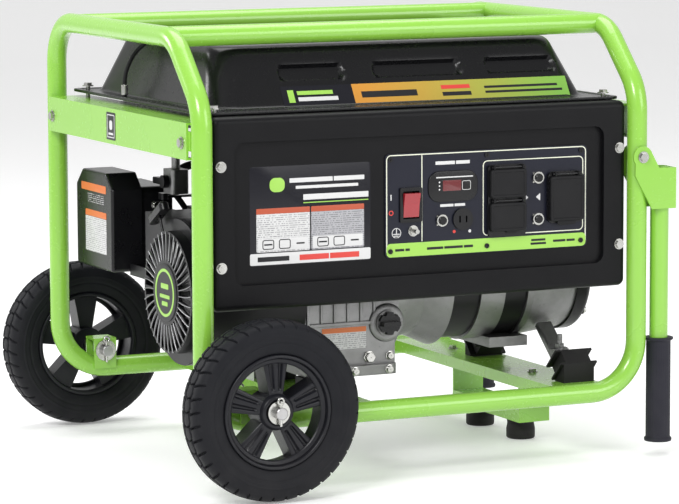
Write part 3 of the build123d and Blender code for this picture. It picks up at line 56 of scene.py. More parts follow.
Place = tuple[float, float, float]
Node = bpy.types.Node
Tree = bpy.types.NodeTree
Socket = bpy.types.NodeSocket

# The crankshaft's height and place across the machine, and the height of one print layer, in mm.
CRANK_Y, CRANK_Z = -85, 247
INK = 0.22
# How much light the studio's white surroundings give.
SURROUNDINGS = 0.55


class Facing(Enum):
    """Which way a layered piece's layers rise, and the two axes across them."""

    UP = ((1, 0, 0), (0, 1, 0), (0, 0, 1))
    FRONT = ((1, 0, 0), (0, 0, 1), (0, -1, 0))
    BACK = ((-1, 0, 0), (0, 0, 1), (0, 1, 0))
    LEFT = ((0, -1, 0), (0, 0, 1), (-1, 0, 0))
    RIGHT = ((0, 1, 0), (0, 0, 1), (1, 0, 0))


class Pattern(Enum):
    """What is printed or formed on a finish beyond its own wear."""

    PLAIN = 0
    TEXT_ROWS = 1
    LAMINATIONS = 2
    FADE = 3


@dataclass(frozen=True)
class Finish:
    """One finish: how a surface is coloured, how it shines and how it has worn."""

    name: str
    colour: Colour
    worn: Colour = (0.12, 0.12, 0.12)
    roughness: float = 0.5
    spread: float = 0.12
    metallic: float = 0.0
    coat: float = 0.0
    mottle: float = 18.0
    grain: float = 900.0
    grain_height: float = 0.15
    wear: float = 0.12
    dust: float = 0.15
    pattern: Pattern = Pattern.PLAIN
    ink: Colour = (0.02, 0.02, 0.02)
    glow: float = 0.0
    shine: float = 0.5


GREEN = Finish(
    "lime_powder_coat", (0.235, 0.51, 0.052), (0.33, 0.6, 0.13), 0.27, 0.08, 0.0, 0.4, 9, 260, 0.05, 0.12,
    0.06,
)
COVER = Finish(
    "moulded_black_cover", (0.004, 0.004, 0.0048), (0.011, 0.011, 0.012), 0.38, 0.1, 0.0, 0.0, 14, 1500,
    0.3, 0.25, 0.02, shine=0.14,
)
TANK = Finish(
    "satin_black_tank", (0.004, 0.004, 0.0048), (0.009, 0.009, 0.01), 0.27, 0.08, 0.0, 0.04, 8, 420, 0.05,
    0.2, 0.02, shine=0.25,
)
ENGINE = Finish(
    "black_engine_paint", (0.005, 0.005, 0.006), (0.014, 0.014, 0.014), 0.34, 0.12, 0.0, 0.03, 22, 700,
    0.12, 0.3, 0.04, shine=0.22,
)
FACE = Finish(
    "printed_control_face", (0.007, 0.008, 0.017), (0.01, 0.012, 0.024), 0.3, 0.06, 0.0, 0.05, 20, 1800,
    0.08, 0.2, 0.01, shine=0.25,
)
BLACK = Finish(
    "smooth_black_plastic", (0.005, 0.005, 0.006), (0.014, 0.014, 0.014), 0.28, 0.08, 0.0, 0.05, 30, 1600,
    0.1, 0.2, 0.03, shine=0.3,
)
RUBBER = Finish(
    "soft_black_rubber", (0.007, 0.007, 0.008), (0.02, 0.02, 0.021), 0.55, 0.1, 0.0, 0.0, 25, 1400, 0.3,
    0.3, 0.05, shine=0.2,
)
TYRE = Finish(
    "tyre_rubber", (0.0055, 0.006, 0.0085), (0.012, 0.0125, 0.016), 0.55, 0.12, 0.0, 0.0, 40, 1100, 0.35,
    0.35, 0.03, shine=0.16,
)
RIM = Finish(
    "black_rim_moulding", (0.006, 0.0065, 0.0095), (0.012, 0.012, 0.017), 0.3, 0.1, 0.0, 0.0, 30, 1500,
    0.2, 0.25, 0.03, shine=0.25,
)
GRIP = Finish(
    "grip_foam", (0.011, 0.011, 0.019), (0.024, 0.024, 0.036), 0.6, 0.1, 0.0, 0.0, 50, 1900, 0.4, 0.3,
    0.04, shine=0.25,
)
CAST = Finish(
    "die_cast_aluminium", (0.25, 0.25, 0.25), (0.13, 0.13, 0.125), 0.36, 0.18, 0.92, 0.0, 35, 1300, 0.6,
    0.5, 0.04,
)
STEEL = Finish(
    "turned_steel", (0.46, 0.46, 0.47), (0.3, 0.28, 0.25), 0.3, 0.15, 1.0, 0.0, 60, 1500, 0.15, 0.35, 0.1
)
CORE = Finish(
    "laminated_core", (0.02, 0.02, 0.022), (0.06, 0.05, 0.045), 0.45, 0.15, 0.3, 0.0, 30, 900, 0.2, 0.4,
    0.06, Pattern.LAMINATIONS,
)
ZINC = Finish(
    "bright_zinc", (0.5, 0.5, 0.48), (0.3, 0.29, 0.25), 0.22, 0.14, 1.0, 0.0, 90, 1400, 0.1, 0.4, 0.03
)
HOT = Finish(
    "heat_proof_paint", (0.018, 0.0175, 0.017), (0.07, 0.05, 0.04), 0.55, 0.15, 0.3, 0.0, 25, 900, 0.3,
    0.4, 0.06,
)
RED = Finish(
    "red_rocker", (0.3, 0.012, 0.02), (0.4, 0.03, 0.035), 0.18, 0.05, 0.0, 0.4, 30, 1200, 0.03, 0.1, 0.0
)
RED_WINDOW = Finish(
    "red_display_window", (0.12, 0.012, 0.014), (0.15, 0.014, 0.016), 0.15, 0.04, 0.0, 0.4, 30, 900, 0.0,
    0.1, 0.0,
)
LIME_INK = Finish(
    "lime_print", (0.3, 0.56, 0.08), (0.26, 0.5, 0.07), 0.35, 0.05, 0.0, 0.0, 30, 1500, 0.03, 0.2, 0.01
)
CREAM_INK = Finish(
    "cream_print", (0.72, 0.74, 0.6), (0.6, 0.62, 0.5), 0.4, 0.05, 0.0, 0.0, 30, 1500, 0.03, 0.2, 0.02
)
WHITE_INK = Finish(
    "white_label", (0.58, 0.58, 0.58), (0.5, 0.5, 0.5), 0.4, 0.06, 0.0, 0.1, 30, 1500, 0.03, 0.2, 0.02,
    Pattern.TEXT_ROWS, (0.24, 0.24, 0.25),
)
PLAIN_WHITE = Finish(
    "white_print", (0.6, 0.6, 0.6), (0.5, 0.5, 0.5), 0.4, 0.05, 0.0, 0.0, 30, 1500, 0.03, 0.2, 0.02
)
GREY_INK = Finish(
    "grey_label", (0.36, 0.36, 0.38), (0.3, 0.3, 0.32), 0.4, 0.06, 0.0, 0.1, 30, 1500, 0.03, 0.2, 0.02,
    Pattern.TEXT_ROWS, (0.14, 0.14, 0.15),
)
ORANGE_INK = Finish(
    "orange_print", (0.62, 0.15, 0.025), (0.5, 0.13, 0.025), 0.4, 0.05, 0.0, 0.0, 30, 1500, 0.03, 0.2, 0.02
)
DANGER_INK = Finish(
    "brick_red_print", (0.42, 0.07, 0.025), (0.36, 0.06, 0.02), 0.4, 0.05, 0.0, 0.0, 30, 1500, 0.03, 0.2,
    0.02,
)
RED_INK = Finish(
    "red_print", (0.6, 0.04, 0.03), (0.5, 0.04, 0.03), 0.4, 0.05, 0.0, 0.0, 30, 1500, 0.03, 0.2, 0.02
)
STICKER = Finish(
    "gloss_dark_sticker", (0.005, 0.005, 0.009), (0.008, 0.008, 0.013), 0.2, 0.05, 0.0, 0.1, 20, 1200,
    0.02, 0.2, 0.01, shine=0.3,
)
TANK_BAND = Finish(
    "faded_tank_band", (0.55, 0.24, 0.03), (0.45, 0.2, 0.03), 0.25, 0.05, 0.0, 0.1, 20, 1200, 0.02, 0.1,
    0.01, Pattern.FADE, (0.17, 0.4, 0.06),
)
BLACK_NOTE = Finish(
    "black_note", (0.006, 0.006, 0.007), (0.01, 0.01, 0.01), 0.4, 0.05, 0.0, 0.0, 30, 1500, 0.03, 0.2,
    0.01, Pattern.TEXT_ROWS, (0.5, 0.5, 0.5), shine=0.3,
)
BLACK_INK = Finish(
    "black_print", (0.01, 0.01, 0.012), (0.02, 0.02, 0.02), 0.4, 0.05, 0.0, 0.0, 30, 1500, 0.03, 0.2, 0.02,
    shine=0.3,
)
# Silver-grey here is painted highlight: the recoil cover's ribs are black and only look bright where light
# catches their crests.
RIB_PAINTED_HIGHLIGHT = Finish(
    "rib_painted_highlight", (0.3, 0.3, 0.31), (0.12, 0.12, 0.12), 0.3, 0.1, 0.6, 0.0, 40, 900, 0.1, 0.4, 0.03
)
FLOOR = Finish(
    "pale_studio_floor", (0.86, 0.86, 0.86), (0.82, 0.82, 0.82), 0.55, 0.05, 0.0, 0.0, 2, 90, 0.0, 0.2,
    0.0, Pattern.PLAIN, (0, 0, 0), 0.28,
)

SLOT_FINISHES: dict[str, Finish] = {
    "green_paint": GREEN,
    "black_panel": COVER,
    "tank_black": TANK,
    "engine_black": ENGINE,
    "control_face": FACE,
    "black_plastic": BLACK,
    "soft_rubber": RUBBER,
    "tyre_rubber": TYRE,
    "rim_plastic": RIM,
    "cast_aluminium": CAST,
    "steel_core": CORE,
    "zinc": ZINC,
    "machined_steel": STEEL,
    "muffler_steel": HOT,
    "red_lens": RED,
    "grip_rubber": GRIP,
}


# ------------------------------------------------------------------ finishes
def group_socket(tree: Tree, name: str, kind: str, output: bool = False) -> None:
    """Add one named socket to a node group.

    Args:
        tree: The node group.
        name: The socket's name.
        kind: The socket's type, such as NodeSocketFloat.
        output: True for a socket on the group's output side.
    """
    tree.interface.new_socket(name, in_out="OUTPUT" if output else "INPUT", socket_type=kind)


def math_node(tree: Tree, operation: str, first: object, second: object) -> Socket:
    """Place a Math node and connect or set its two inputs.

    Args:
        tree: The tree that gets the node.
        operation: The Math node's operation.
        first: A socket or a number for the first input.
        second: A socket or a number for the second input.

    Returns:
        The node's output socket.
    """
    node = tree.nodes.new("ShaderNodeMath")
    node.operation = operation
    for socket, value in zip(node.inputs, (first, second)):
        if isinstance(value, Socket):
            tree.links.new(value, socket)
        else:
            socket.default_value = value
    return node.outputs[0]


def mix_colour(tree: Tree, share: object, first: object, second: object) -> Socket:
    """Place a colour Mix node.

    Args:
        tree: The tree that gets the node.
        share: A socket or number: 0 gives the first colour, 1 the second.
        first: A socket or an RGB triple.
        second: A socket or an RGB triple.

    Returns:
        The mixed colour's socket.
    """
    node = tree.nodes.new("ShaderNodeMix")
    node.data_type = "RGBA"
    for socket, value in ((node.inputs[0], share), (node.inputs[6], first), (node.inputs[7], second)):
        if isinstance(value, Socket):
            tree.links.new(value, socket)
        elif isinstance(value, tuple):
            socket.default_value = (*value, 1.0)
        else:
            socket.default_value = value
    return node.outputs[2]


def noise(tree: Tree, place: Socket, scale: object, detail: float) -> Socket:
    """Place a noise texture read at the given coordinates.

    Args:
        tree: The tree that gets the node.
        place: The coordinates' socket.
        scale: A socket or number for the noise's scale.
        detail: The noise's detail.

    Returns:
        The noise factor's socket.
    """
    node = tree.nodes.new("ShaderNodeTexNoise")
    node.inputs["Detail"].default_value = detail
    if isinstance(scale, Socket):
        tree.links.new(scale, node.inputs["Scale"])
    else:
        node.inputs["Scale"].default_value = scale
    tree.links.new(place, node.inputs["Vector"])
    return node.outputs["Fac"]


def ramp_mask(tree: Tree, value: Socket, low: float, high: float) -> Socket:
    """Place a Map Range node that turns a value into a clamped 0 to 1 mask.

    Args:
        tree: The tree that gets the node.
        value: The value's socket.
        low: Where the mask is 0.
        high: Where the mask is 1.

    Returns:
        The mask's socket.
    """
    node = tree.nodes.new("ShaderNodeMapRange")
    node.inputs["From Min"].default_value = low
    node.inputs["From Max"].default_value = high
    tree.links.new(value, node.inputs["Value"])
    return node.outputs["Result"]


def worn_surface_group() -> Tree:
    """Build the node group that every finish shares: mottling, scuffs, dust and grain.

    Returns:
        The group, with Colour, Roughness and Height outputs.
    """
    tree = bpy.data.node_groups.new("worn_surface", "ShaderNodeTree")
    group_socket(tree, "Place", "NodeSocketVector")
    for name in ("Colour", "Worn Colour"):
        group_socket(tree, name, "NodeSocketColor")
    for name in ("Roughness", "Spread", "Mottle Scale", "Grain Scale", "Wear", "Dust"):
        group_socket(tree, name, "NodeSocketFloat")
    group_socket(tree, "Colour", "NodeSocketColor", True)
    group_socket(tree, "Roughness", "NodeSocketFloat", True)
    group_socket(tree, "Height", "NodeSocketFloat", True)
    given = tree.nodes.new("NodeGroupInput").outputs
    place = given["Place"]
    broad = noise(tree, place, given["Mottle Scale"], 4)
    fine = noise(tree, place, given["Grain Scale"], 2)
    scuffed = noise(tree, place, 160, 6)
    scuff_mask = math_node(tree, "MULTIPLY", ramp_mask(tree, scuffed, 0.6, 0.74), given["Wear"])
    mottle_mask = math_node(tree, "MULTIPLY", ramp_mask(tree, broad, 0.35, 0.75), given["Wear"])
    aged = mix_colour(
        tree, math_node(tree, "MAXIMUM", scuff_mask, mottle_mask), given["Colour"], given["Worn Colour"]
    )
    height = tree.nodes.new("ShaderNodeSeparateXYZ")
    tree.links.new(place, height.inputs[0])
    low_down = ramp_mask(tree, height.outputs["Z"], 0.26, 0.0)
    dusty = math_node(tree, "MULTIPLY", math_node(tree, "MULTIPLY", low_down, broad), given["Dust"])
    coloured = mix_colour(tree, dusty, aged, (0.34, 0.31, 0.26))
    shift = math_node(tree, "MULTIPLY", math_node(tree, "SUBTRACT", broad, 0.5), given["Spread"])
    rough = math_node(
        tree,
        "ADD",
        math_node(tree, "ADD", given["Roughness"], shift),
        math_node(tree, "MULTIPLY", scuff_mask, 0.3),
    )
    result = tree.nodes.new("NodeGroupOutput")
    tree.links.new(coloured, result.inputs["Colour"])
    tree.links.new(rough, result.inputs["Roughness"])
    tree.links.new(
        math_node(tree, "ADD", fine, math_node(tree, "MULTIPLY", scuffed, 0.35)), result.inputs["Height"]
    )
    return tree


def text_rows(tree: Tree, place: Socket) -> Socket:
    """Rows of short dashes of uneven length, as small print looks from a step away.

    Args:
        tree: The material's tree.
        place: The label's UV coordinates, in millimetres.

    Returns:
        A mask that is 1 on a dash.
    """
    apart = tree.nodes.new("ShaderNodeSeparateXYZ")
    tree.links.new(place, apart.inputs[0])
    row = math_node(tree, "FRACT", math_node(tree, "MULTIPLY", apart.outputs["Y"], 0.36), 0)
    in_row = math_node(tree, "LESS_THAN", row, 0.42)
    stretch = tree.nodes.new("ShaderNodeCombineXYZ")
    tree.links.new(math_node(tree, "MULTIPLY", apart.outputs["X"], 0.42), stretch.inputs[0])
    row_index = math_node(tree, "FLOOR", math_node(tree, "MULTIPLY", apart.outputs["Y"], 0.36), 0)
    tree.links.new(math_node(tree, "MULTIPLY", row_index, 7.3), stretch.inputs[1])
    dash = math_node(tree, "GREATER_THAN", noise(tree, stretch.outputs[0], 1.0, 1), 0.46)
    return math_node(tree, "MULTIPLY", in_row, dash)


@dataclass
class PaintShop:
    """Makes one material for each finish and keeps it for the next piece."""

    group: Tree = field(default_factory=worn_surface_group)
    made: dict[str, bpy.types.Material] = field(default_factory=dict)

    def material(self, finish: Finish) -> bpy.types.Material:
        """Give the material of a finish, building it the first time.

        Args:
            finish: The finish wanted.

        Returns:
            The finished material.
        """
        if finish.name in self.made:
            return self.made[finish.name]
        made = bpy.data.materials.new(finish.name)
        made.use_nodes = True
        tree = made.node_tree
        shader = tree.nodes["Principled BSDF"]
        coordinates = tree.nodes.new("ShaderNodeTexCoord")
        worn = tree.nodes.new("ShaderNodeGroup")
        worn.node_tree = self.group
        tree.links.new(coordinates.outputs["Object"], worn.inputs["Place"])
        worn.inputs["Worn Colour"].default_value = (*finish.worn, 1)
        for name, value in (
            ("Roughness", finish.roughness),
            ("Spread", finish.spread),
            ("Mottle Scale", finish.mottle),
            ("Grain Scale", finish.grain),
            ("Wear", finish.wear),
            ("Dust", finish.dust),
        ):
            worn.inputs[name].default_value = value
        self.print_colour(tree, finish, coordinates, worn.inputs["Colour"])
        tree.links.new(worn.outputs["Colour"], shader.inputs["Base Color"])
        tree.links.new(worn.outputs["Roughness"], shader.inputs["Roughness"])
        shader.inputs["Metallic"].default_value = finish.metallic
        shader.inputs["Coat Weight"].default_value = finish.coat
        shader.inputs["Coat Roughness"].default_value = 0.12
        shader.inputs["Specular IOR Level"].default_value = finish.shine
        if finish.glow:
            shader.inputs["Emission Color"].default_value = (*finish.colour, 1)
            shader.inputs["Emission Strength"].default_value = finish.glow
        if finish.grain_height:
            bump = tree.nodes.new("ShaderNodeBump")
            bump.inputs["Strength"].default_value = min(finish.grain_height, 1)
            bump.inputs["Distance"].default_value = 0.0006
            tree.links.new(
                self.relief(tree, finish, coordinates, worn.outputs["Height"]), bump.inputs["Height"]
            )
            tree.links.new(bump.outputs[0], shader.inputs["Normal"])
        self.made[finish.name] = made
        return made

    def print_colour(self, tree: Tree, finish: Finish, coordinates: Node, target: Socket) -> None:
        """Set or connect a finish's own colour, with what is printed on it.

        Args:
            tree: The material's tree.
            finish: The finish being made.
            coordinates: The texture coordinate node.
            target: The colour socket to feed.
        """
        target.default_value = (*finish.colour, 1)
        if finish.pattern is Pattern.TEXT_ROWS:
            mask = text_rows(tree, coordinates.outputs["UV"])
            tree.links.new(mix_colour(tree, mask, finish.colour, finish.ink), target)
        if finish.pattern is Pattern.FADE:
            apart = tree.nodes.new("ShaderNodeSeparateXYZ")
            tree.links.new(coordinates.outputs["Object"], apart.inputs[0])
            along = ramp_mask(tree, apart.outputs["X"], -0.06, 0.24)
            tree.links.new(mix_colour(tree, along, finish.colour, finish.ink), target)

    def relief(self, tree: Tree, finish: Finish, coordinates: Node, grain: Socket) -> Socket:
        """Add laminations to a finish's grain where the finish has them.

        Args:
            tree: The material's tree.
            finish: The finish being made.
            coordinates: The texture coordinate node.
            grain: The grain's height socket.

        Returns:
            The height to feed the bump.
        """
        if finish.pattern is not Pattern.LAMINATIONS:
            return grain
        apart = tree.nodes.new("ShaderNodeSeparateXYZ")
        tree.links.new(coordinates.outputs["Object"], apart.inputs[0])
        sheets = math_node(tree, "SINE", math_node(tree, "MULTIPLY", apart.outputs["X"], 3600), 0)
        return math_node(tree, "ADD", math_node(tree, "MULTIPLY", sheets, 1.5), grain)


# ------------------------------------------------------------ numpy surfaces
@dataclass
class Surface:
    """Points, faces and UVs of one computed surface."""

    points: np.ndarray
    faces: list[np.ndarray]
    uvs: np.ndarray

    def __add__(self, other: "Surface") -> "Surface":
        """Put another surface into the same mesh."""
        shift = len(self.points)
        return Surface(
            np.vstack([self.points, other.points]),
            self.faces + [f + shift for f in other.faces],
            np.vstack([self.uvs, other.uvs]),
        )


def outline(
    half_x: np.ndarray,
    half_y: np.ndarray,
    corner: np.ndarray,
    per_side: int,
    per_corner: int,
) -> tuple[np.ndarray, np.ndarray]:
    """Rounded rectangles, one for each row of sizes.

    A point in a corner is the corner's centre plus its radius times the cosine
    and sine of the angle; a point on a side lies evenly between two corners.

    Args:
        half_x: Half lengths, one a row.
        half_y: Half widths, one a row.
        corner: Corner radii, one a row.
        per_side: Points on each straight side.
        per_corner: Points in each corner.

    Returns:
        Arrays of x and y, shaped rows by points.
    """
    xs, ys = [], []
    signs = ((1, 1), (-1, 1), (-1, -1), (1, -1))
    for quarter, (sx, sy) in enumerate(signs):
        angle = (quarter + np.linspace(0, 1, per_corner)) * np.pi / 2
        xs.append((sx * (half_x - corner))[:, None] + corner[:, None] * np.cos(angle))
        ys.append((sy * (half_y - corner))[:, None] + corner[:, None] * np.sin(angle))
        nx, ny = signs[(quarter + 1) % 4]
        share = np.linspace(0, 1, per_side + 2)[1:-1]
        end_angle = (quarter + 1) * np.pi / 2
        ax = sx * (half_x - corner) + corner * np.cos(end_angle)
        ay = sy * (half_y - corner) + corner * np.sin(end_angle)
        bx = nx * (half_x - corner) + corner * np.cos(end_angle)
        by = ny * (half_y - corner) + corner * np.sin(end_angle)
        xs.append(ax[:, None] + (bx - ax)[:, None] * share)
        ys.append(ay[:, None] + (by - ay)[:, None] * share)
    return np.hstack(xs), np.hstack(ys)


def soften(rows: np.ndarray, radii: np.ndarray, steps: int = 6) -> np.ndarray:
    """Round the corners of a path of rows.

    Near a corner, the path leaves its straight run and follows the parabola
    (1-t)^2 A + 2t(1-t) B + t^2 C from one run to the next.

    Args:
        rows: The path's corner rows.
        radii: How far from each corner its curve starts.
        steps: Points in each curve.

    Returns:
        The rounded path's rows.
    """
    made = [rows[:1]]
    for before, here, after, reach in zip(rows[:-2], rows[1:-1], rows[2:], radii[1:-1]):
        back, ahead = before - here, after - here
        back_l, ahead_l = np.linalg.norm(back[:5]), np.linalg.norm(ahead[:5])
        start = here + back * min(reach / max(back_l, 1e-9), 0.49)
        end = here + ahead * min(reach / max(ahead_l, 1e-9), 0.49)
        t = np.linspace(0, 1, steps)[:, None]
        made.append((1 - t) ** 2 * start + 2 * t * (1 - t) * here + t**2 * end)
    made.append(rows[-1:])
    return np.vstack(made)


def densify(rows: np.ndarray, longest: float) -> np.ndarray:
    """Split long steps of a path so that no step is longer than a given length."""
    made = [rows[:1]]
    for a, b in zip(rows[:-1], rows[1:]):
        count = max(int(np.ceil(np.linalg.norm((b - a)[:5]) / longest)), 1)
        made.append(a + (b - a) * (np.arange(1, count + 1) / count)[:, None])
    return np.vstack(made)


def grid_faces(rows: int, columns: int, wrap_rows: bool = False) -> np.ndarray:
    """Quads of a grid whose columns close on themselves.

    Args:
        rows: How many rows the grid has.
        columns: How many points a row has.
        wrap_rows: True where the last row joins the first.

    Returns:
        An array of point numbers, four a quad.
    """
    r = np.arange(rows if wrap_rows else rows - 1)[:, None]
    c = np.arange(columns)[None, :]
    r_next, c_next = (r + 1) % rows, (c + 1) % columns
    quads = np.stack(
        [r * columns + c, r * columns + c_next, r_next * columns + c_next, r_next * columns + c], -1
    )
    return quads.reshape(-1, 4)


def capped_faces(rows: int, columns: int) -> list[np.ndarray]:
    """Quads of a closed-column grid, with a flat face over each of its two ends."""
    ring = np.arange(columns)
    return [grid_faces(rows, columns), ring[None, ::-1], ((rows - 1) * columns + ring)[None]]


def joined(parts: list[Surface]) -> Surface:
    """Put several surfaces into one mesh, in their order."""
    made = parts[0]
    for part in parts[1:]:
        made = made + part
    return made


def layered(
    rows: np.ndarray,
    origin: Place,
    facing: Facing,
    per_side: int = 8,
    per_corner: int = 6,
) -> Surface:
    """A closed surface stacked from rounded rectangles, each row one layer.

    Args:
        rows: One row a layer: height, centre x, centre y, half x, half y, corner, in mm.
        origin: Where the rows' zero lies, in mm.
        facing: Which way the layers rise.
        per_side: Points on each straight side.
        per_corner: Points in each corner.

    Returns:
        The surface, in metres, with UVs in millimetres across the layers.
    """
    x, y = outline(
        rows[:, 3],
        rows[:, 4],
        np.minimum(rows[:, 5], np.minimum(rows[:, 3], rows[:, 4]) * 0.999),
        per_side,
        per_corner,
    )
    x, y = x + rows[:, 1:2], y + rows[:, 2:3]
    across, along, rise = (np.array(axis, float) for axis in facing.value)
    height = np.broadcast_to(rows[:, :1], x.shape)
    points = np.array(origin) + x[..., None] * across + y[..., None] * along + height[..., None] * rise
    columns = x.shape[1]
    faces = capped_faces(len(rows), columns)
    return Surface(points.reshape(-1, 3) * MM, faces, np.stack([x, y], -1).reshape(-1, 2))


def slab(
    width: float,
    height: float,
    thick: float,
    corner: float,
    edge: float,
    origin: Place,
    facing: Facing,
) -> Surface:
    """A rounded plate: its layers draw in by the edge radius at the outer face.

    Args:
        width: Size along the first axis.
        height: Size along the second axis.
        thick: How far the plate rises.
        corner: Its outline's corner radius.
        edge: The roundness of its outer edge.
        origin: The middle of its back face.
        facing: Which way it faces.

    Returns:
        The plate's surface.
    """
    t = np.linspace(0, np.pi / 2, 5)
    inset = edge * (1 - np.cos(t))
    rise = thick - edge + edge * np.sin(t)
    inset, rise = np.append(0.0, inset), np.append(0.0, rise)
    half = np.full_like(inset, 0.0)
    rows = np.stack(
        [rise, half, half, width / 2 - inset, height / 2 - inset, np.maximum(corner - inset, 0.05)], 1
    )
    return layered(rows, origin, facing)


def band(
    width: float,
    height: float,
    line: float,
    corner: float,
    origin: Place,
    facing: Facing,
    thick: float = 0.2,
) -> Surface:
    """A thin printed frame between two rounded rectangles.

    Args:
        width: The frame's outer width.
        height: The frame's outer height.
        line: The printed line's width.
        corner: The outer corner radius.
        origin: The middle of the frame, on the surface that it is printed on.
        facing: Which way it faces.
        thick: The ink's height.

    Returns:
        The frame's surface.
    """
    inset = np.array([0.0, 0.0, line, line])
    rise = np.array([0.0, thick, thick, 0.0])
    zero = np.zeros(4)
    rows = np.stack(
        [rise, zero, zero, width / 2 - inset, height / 2 - inset, np.maximum(corner - inset, 0.1)], 1
    )
    made = layered(rows, origin, facing)
    made.faces = [grid_faces(4, len(made.points) // 4, True)]
    return made


def turned(
    profile: np.ndarray,
    origin: Place,
    axis: Facing,
    steps: int = 96,
    push: np.ndarray | None = None,
) -> Surface:
    """A closed profile turned about an axis.

    Each point is the axis point at its height, plus its radius times the
    cosine and sine of the turn.

    Args:
        profile: Height and radius, one pair a row; its last row joins its first.
        origin: The axis's zero, in mm.
        axis: The way the heights rise.
        steps: Points round the axis.
        push: Extra radius in mm, shaped rows by steps.

    Returns:
        The turned surface.
    """
    across, along, rise = (np.array(a, float) for a in axis.value)
    angle = np.arange(steps) * 2 * np.pi / steps
    radius = np.repeat(profile[:, 1:2], steps, 1) + (0 if push is None else push)
    points = (
        np.array(origin)
        + radius[..., None] * (np.cos(angle)[None, :, None] * across + np.sin(angle)[None, :, None] * along)
        + profile[:, :1, None] * rise
    )
    uvs = np.stack(
        [np.broadcast_to(angle * 50, radius.shape), np.broadcast_to(profile[:, :1], radius.shape)], -1
    )
    return Surface(points.reshape(-1, 3) * MM, [grid_faces(len(profile), steps, True)], uvs.reshape(-1, 2))


def closed_path(corners: list[tuple[float, float]], reach: float, longest: float) -> np.ndarray:
    """A closed profile with rounded corners and even steps.

    Args:
        corners: The profile's corners.
        reach: How far from a corner its rounding starts.
        longest: The longest step allowed.

    Returns:
        Rows of height and radius.
    """
    pts = np.array(corners, float)
    middle = (pts[-1] + pts[0]) / 2
    path = np.vstack([middle, pts, middle])
    rounded = soften(path, np.full(len(path), reach), 5)
    return densify(rounded, longest)[:-1]


def tube(path: np.ndarray, radius: float, steps: int = 16) -> Surface:
    """A round tube along a path of points, with flat ends.

    Each ring is the point plus the radius times the cosine and sine of the turn
    along two directions square to the path.

    Args:
        path: Points in mm.
        radius: The tube's radius in mm.
        steps: Points in each ring.

    Returns:
        The tube's surface.
    """
    way = np.gradient(path, axis=0)
    way /= np.linalg.norm(way, axis=1)[:, None]
    side = np.cross(way, (0.31, 0.9, 0.11))
    side /= np.linalg.norm(side, axis=1)[:, None]
    other = np.cross(way, side)
    angle = np.arange(steps) * 2 * np.pi / steps
    ring = np.cos(angle)[None, :, None] * side[:, None] + np.sin(angle)[None, :, None] * other[:, None]
    points = path[:, None] + radius * ring
    count = len(path)
    faces = capped_faces(count, steps)
    return Surface(points.reshape(-1, 3) * MM, faces, np.zeros((count * steps, 2)))


def rounded_route(corners: list[Place], reach: float) -> np.ndarray:
    """A route through corner points, each corner rounded, in even short steps."""
    pts = np.array(corners, float)
    return densify(soften(pts, np.full(len(pts), reach), 9), 3.0)


@dataclass
class Assembly:
    """A sub-assembly: it builds its pieces and dresses them."""

    shop: PaintShop
    body: str

    def add(
        self,
        name: str,
        surface: Surface,
        finish: Finish,
        slot: str = "",
        stands_for: tuple[str, ...] = (),
        body: str = "",
    ) -> bpy.types.Object:
        """Turn a computed surface into a piece that rides on a CAD body.

        Args:
            name: The piece's name.
            surface: Its computed surface, in metres.
            finish: Its finish.
            slot: A material slot of the record; not used.
            stands_for: CAD nodes that it replaces.
            body: Another body than the assembly's own.

        Returns:
            The new object.
        """
        mesh = bpy.data.meshes.new(name)
        faces = [row.tolist() for block in surface.faces for row in block]
        mesh.from_pydata(surface.points.tolist(), [], faces)
        triangles = np.concatenate(
            [block[:, (0, k, k + 1)] for block in surface.faces for k in range(1, block.shape[1] - 1)]
        )
        a, b, c = (surface.points[triangles[:, k]] for k in range(3))
        if np.einsum("ij,ij->", a, np.cross(b, c)) < 0:
            mesh.flip_normals()
        loops = np.zeros(len(mesh.loops), np.int32)
        mesh.loops.foreach_get("vertex_index", loops)
        layer = mesh.uv_layers.new(name="UVMap")
        layer.data.foreach_set("uv", surface.uvs[loops].astype(np.float32).ravel())
        mesh.polygons.foreach_set("use_smooth", np.ones(len(mesh.polygons), bool))
        mesh.set_sharp_from_angle(angle=np.radians(38))
        mesh.materials.append(self.shop.material(finish))
        mesh.update()
        piece = bpy.data.objects.new(name, mesh)
        bpy.context.scene.collection.objects.link(piece)
        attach(piece, body or self.body)
        if stands_for:
            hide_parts(*stands_for)
        LOG.info("built %s with %d points", name, len(surface.points))
        return piece


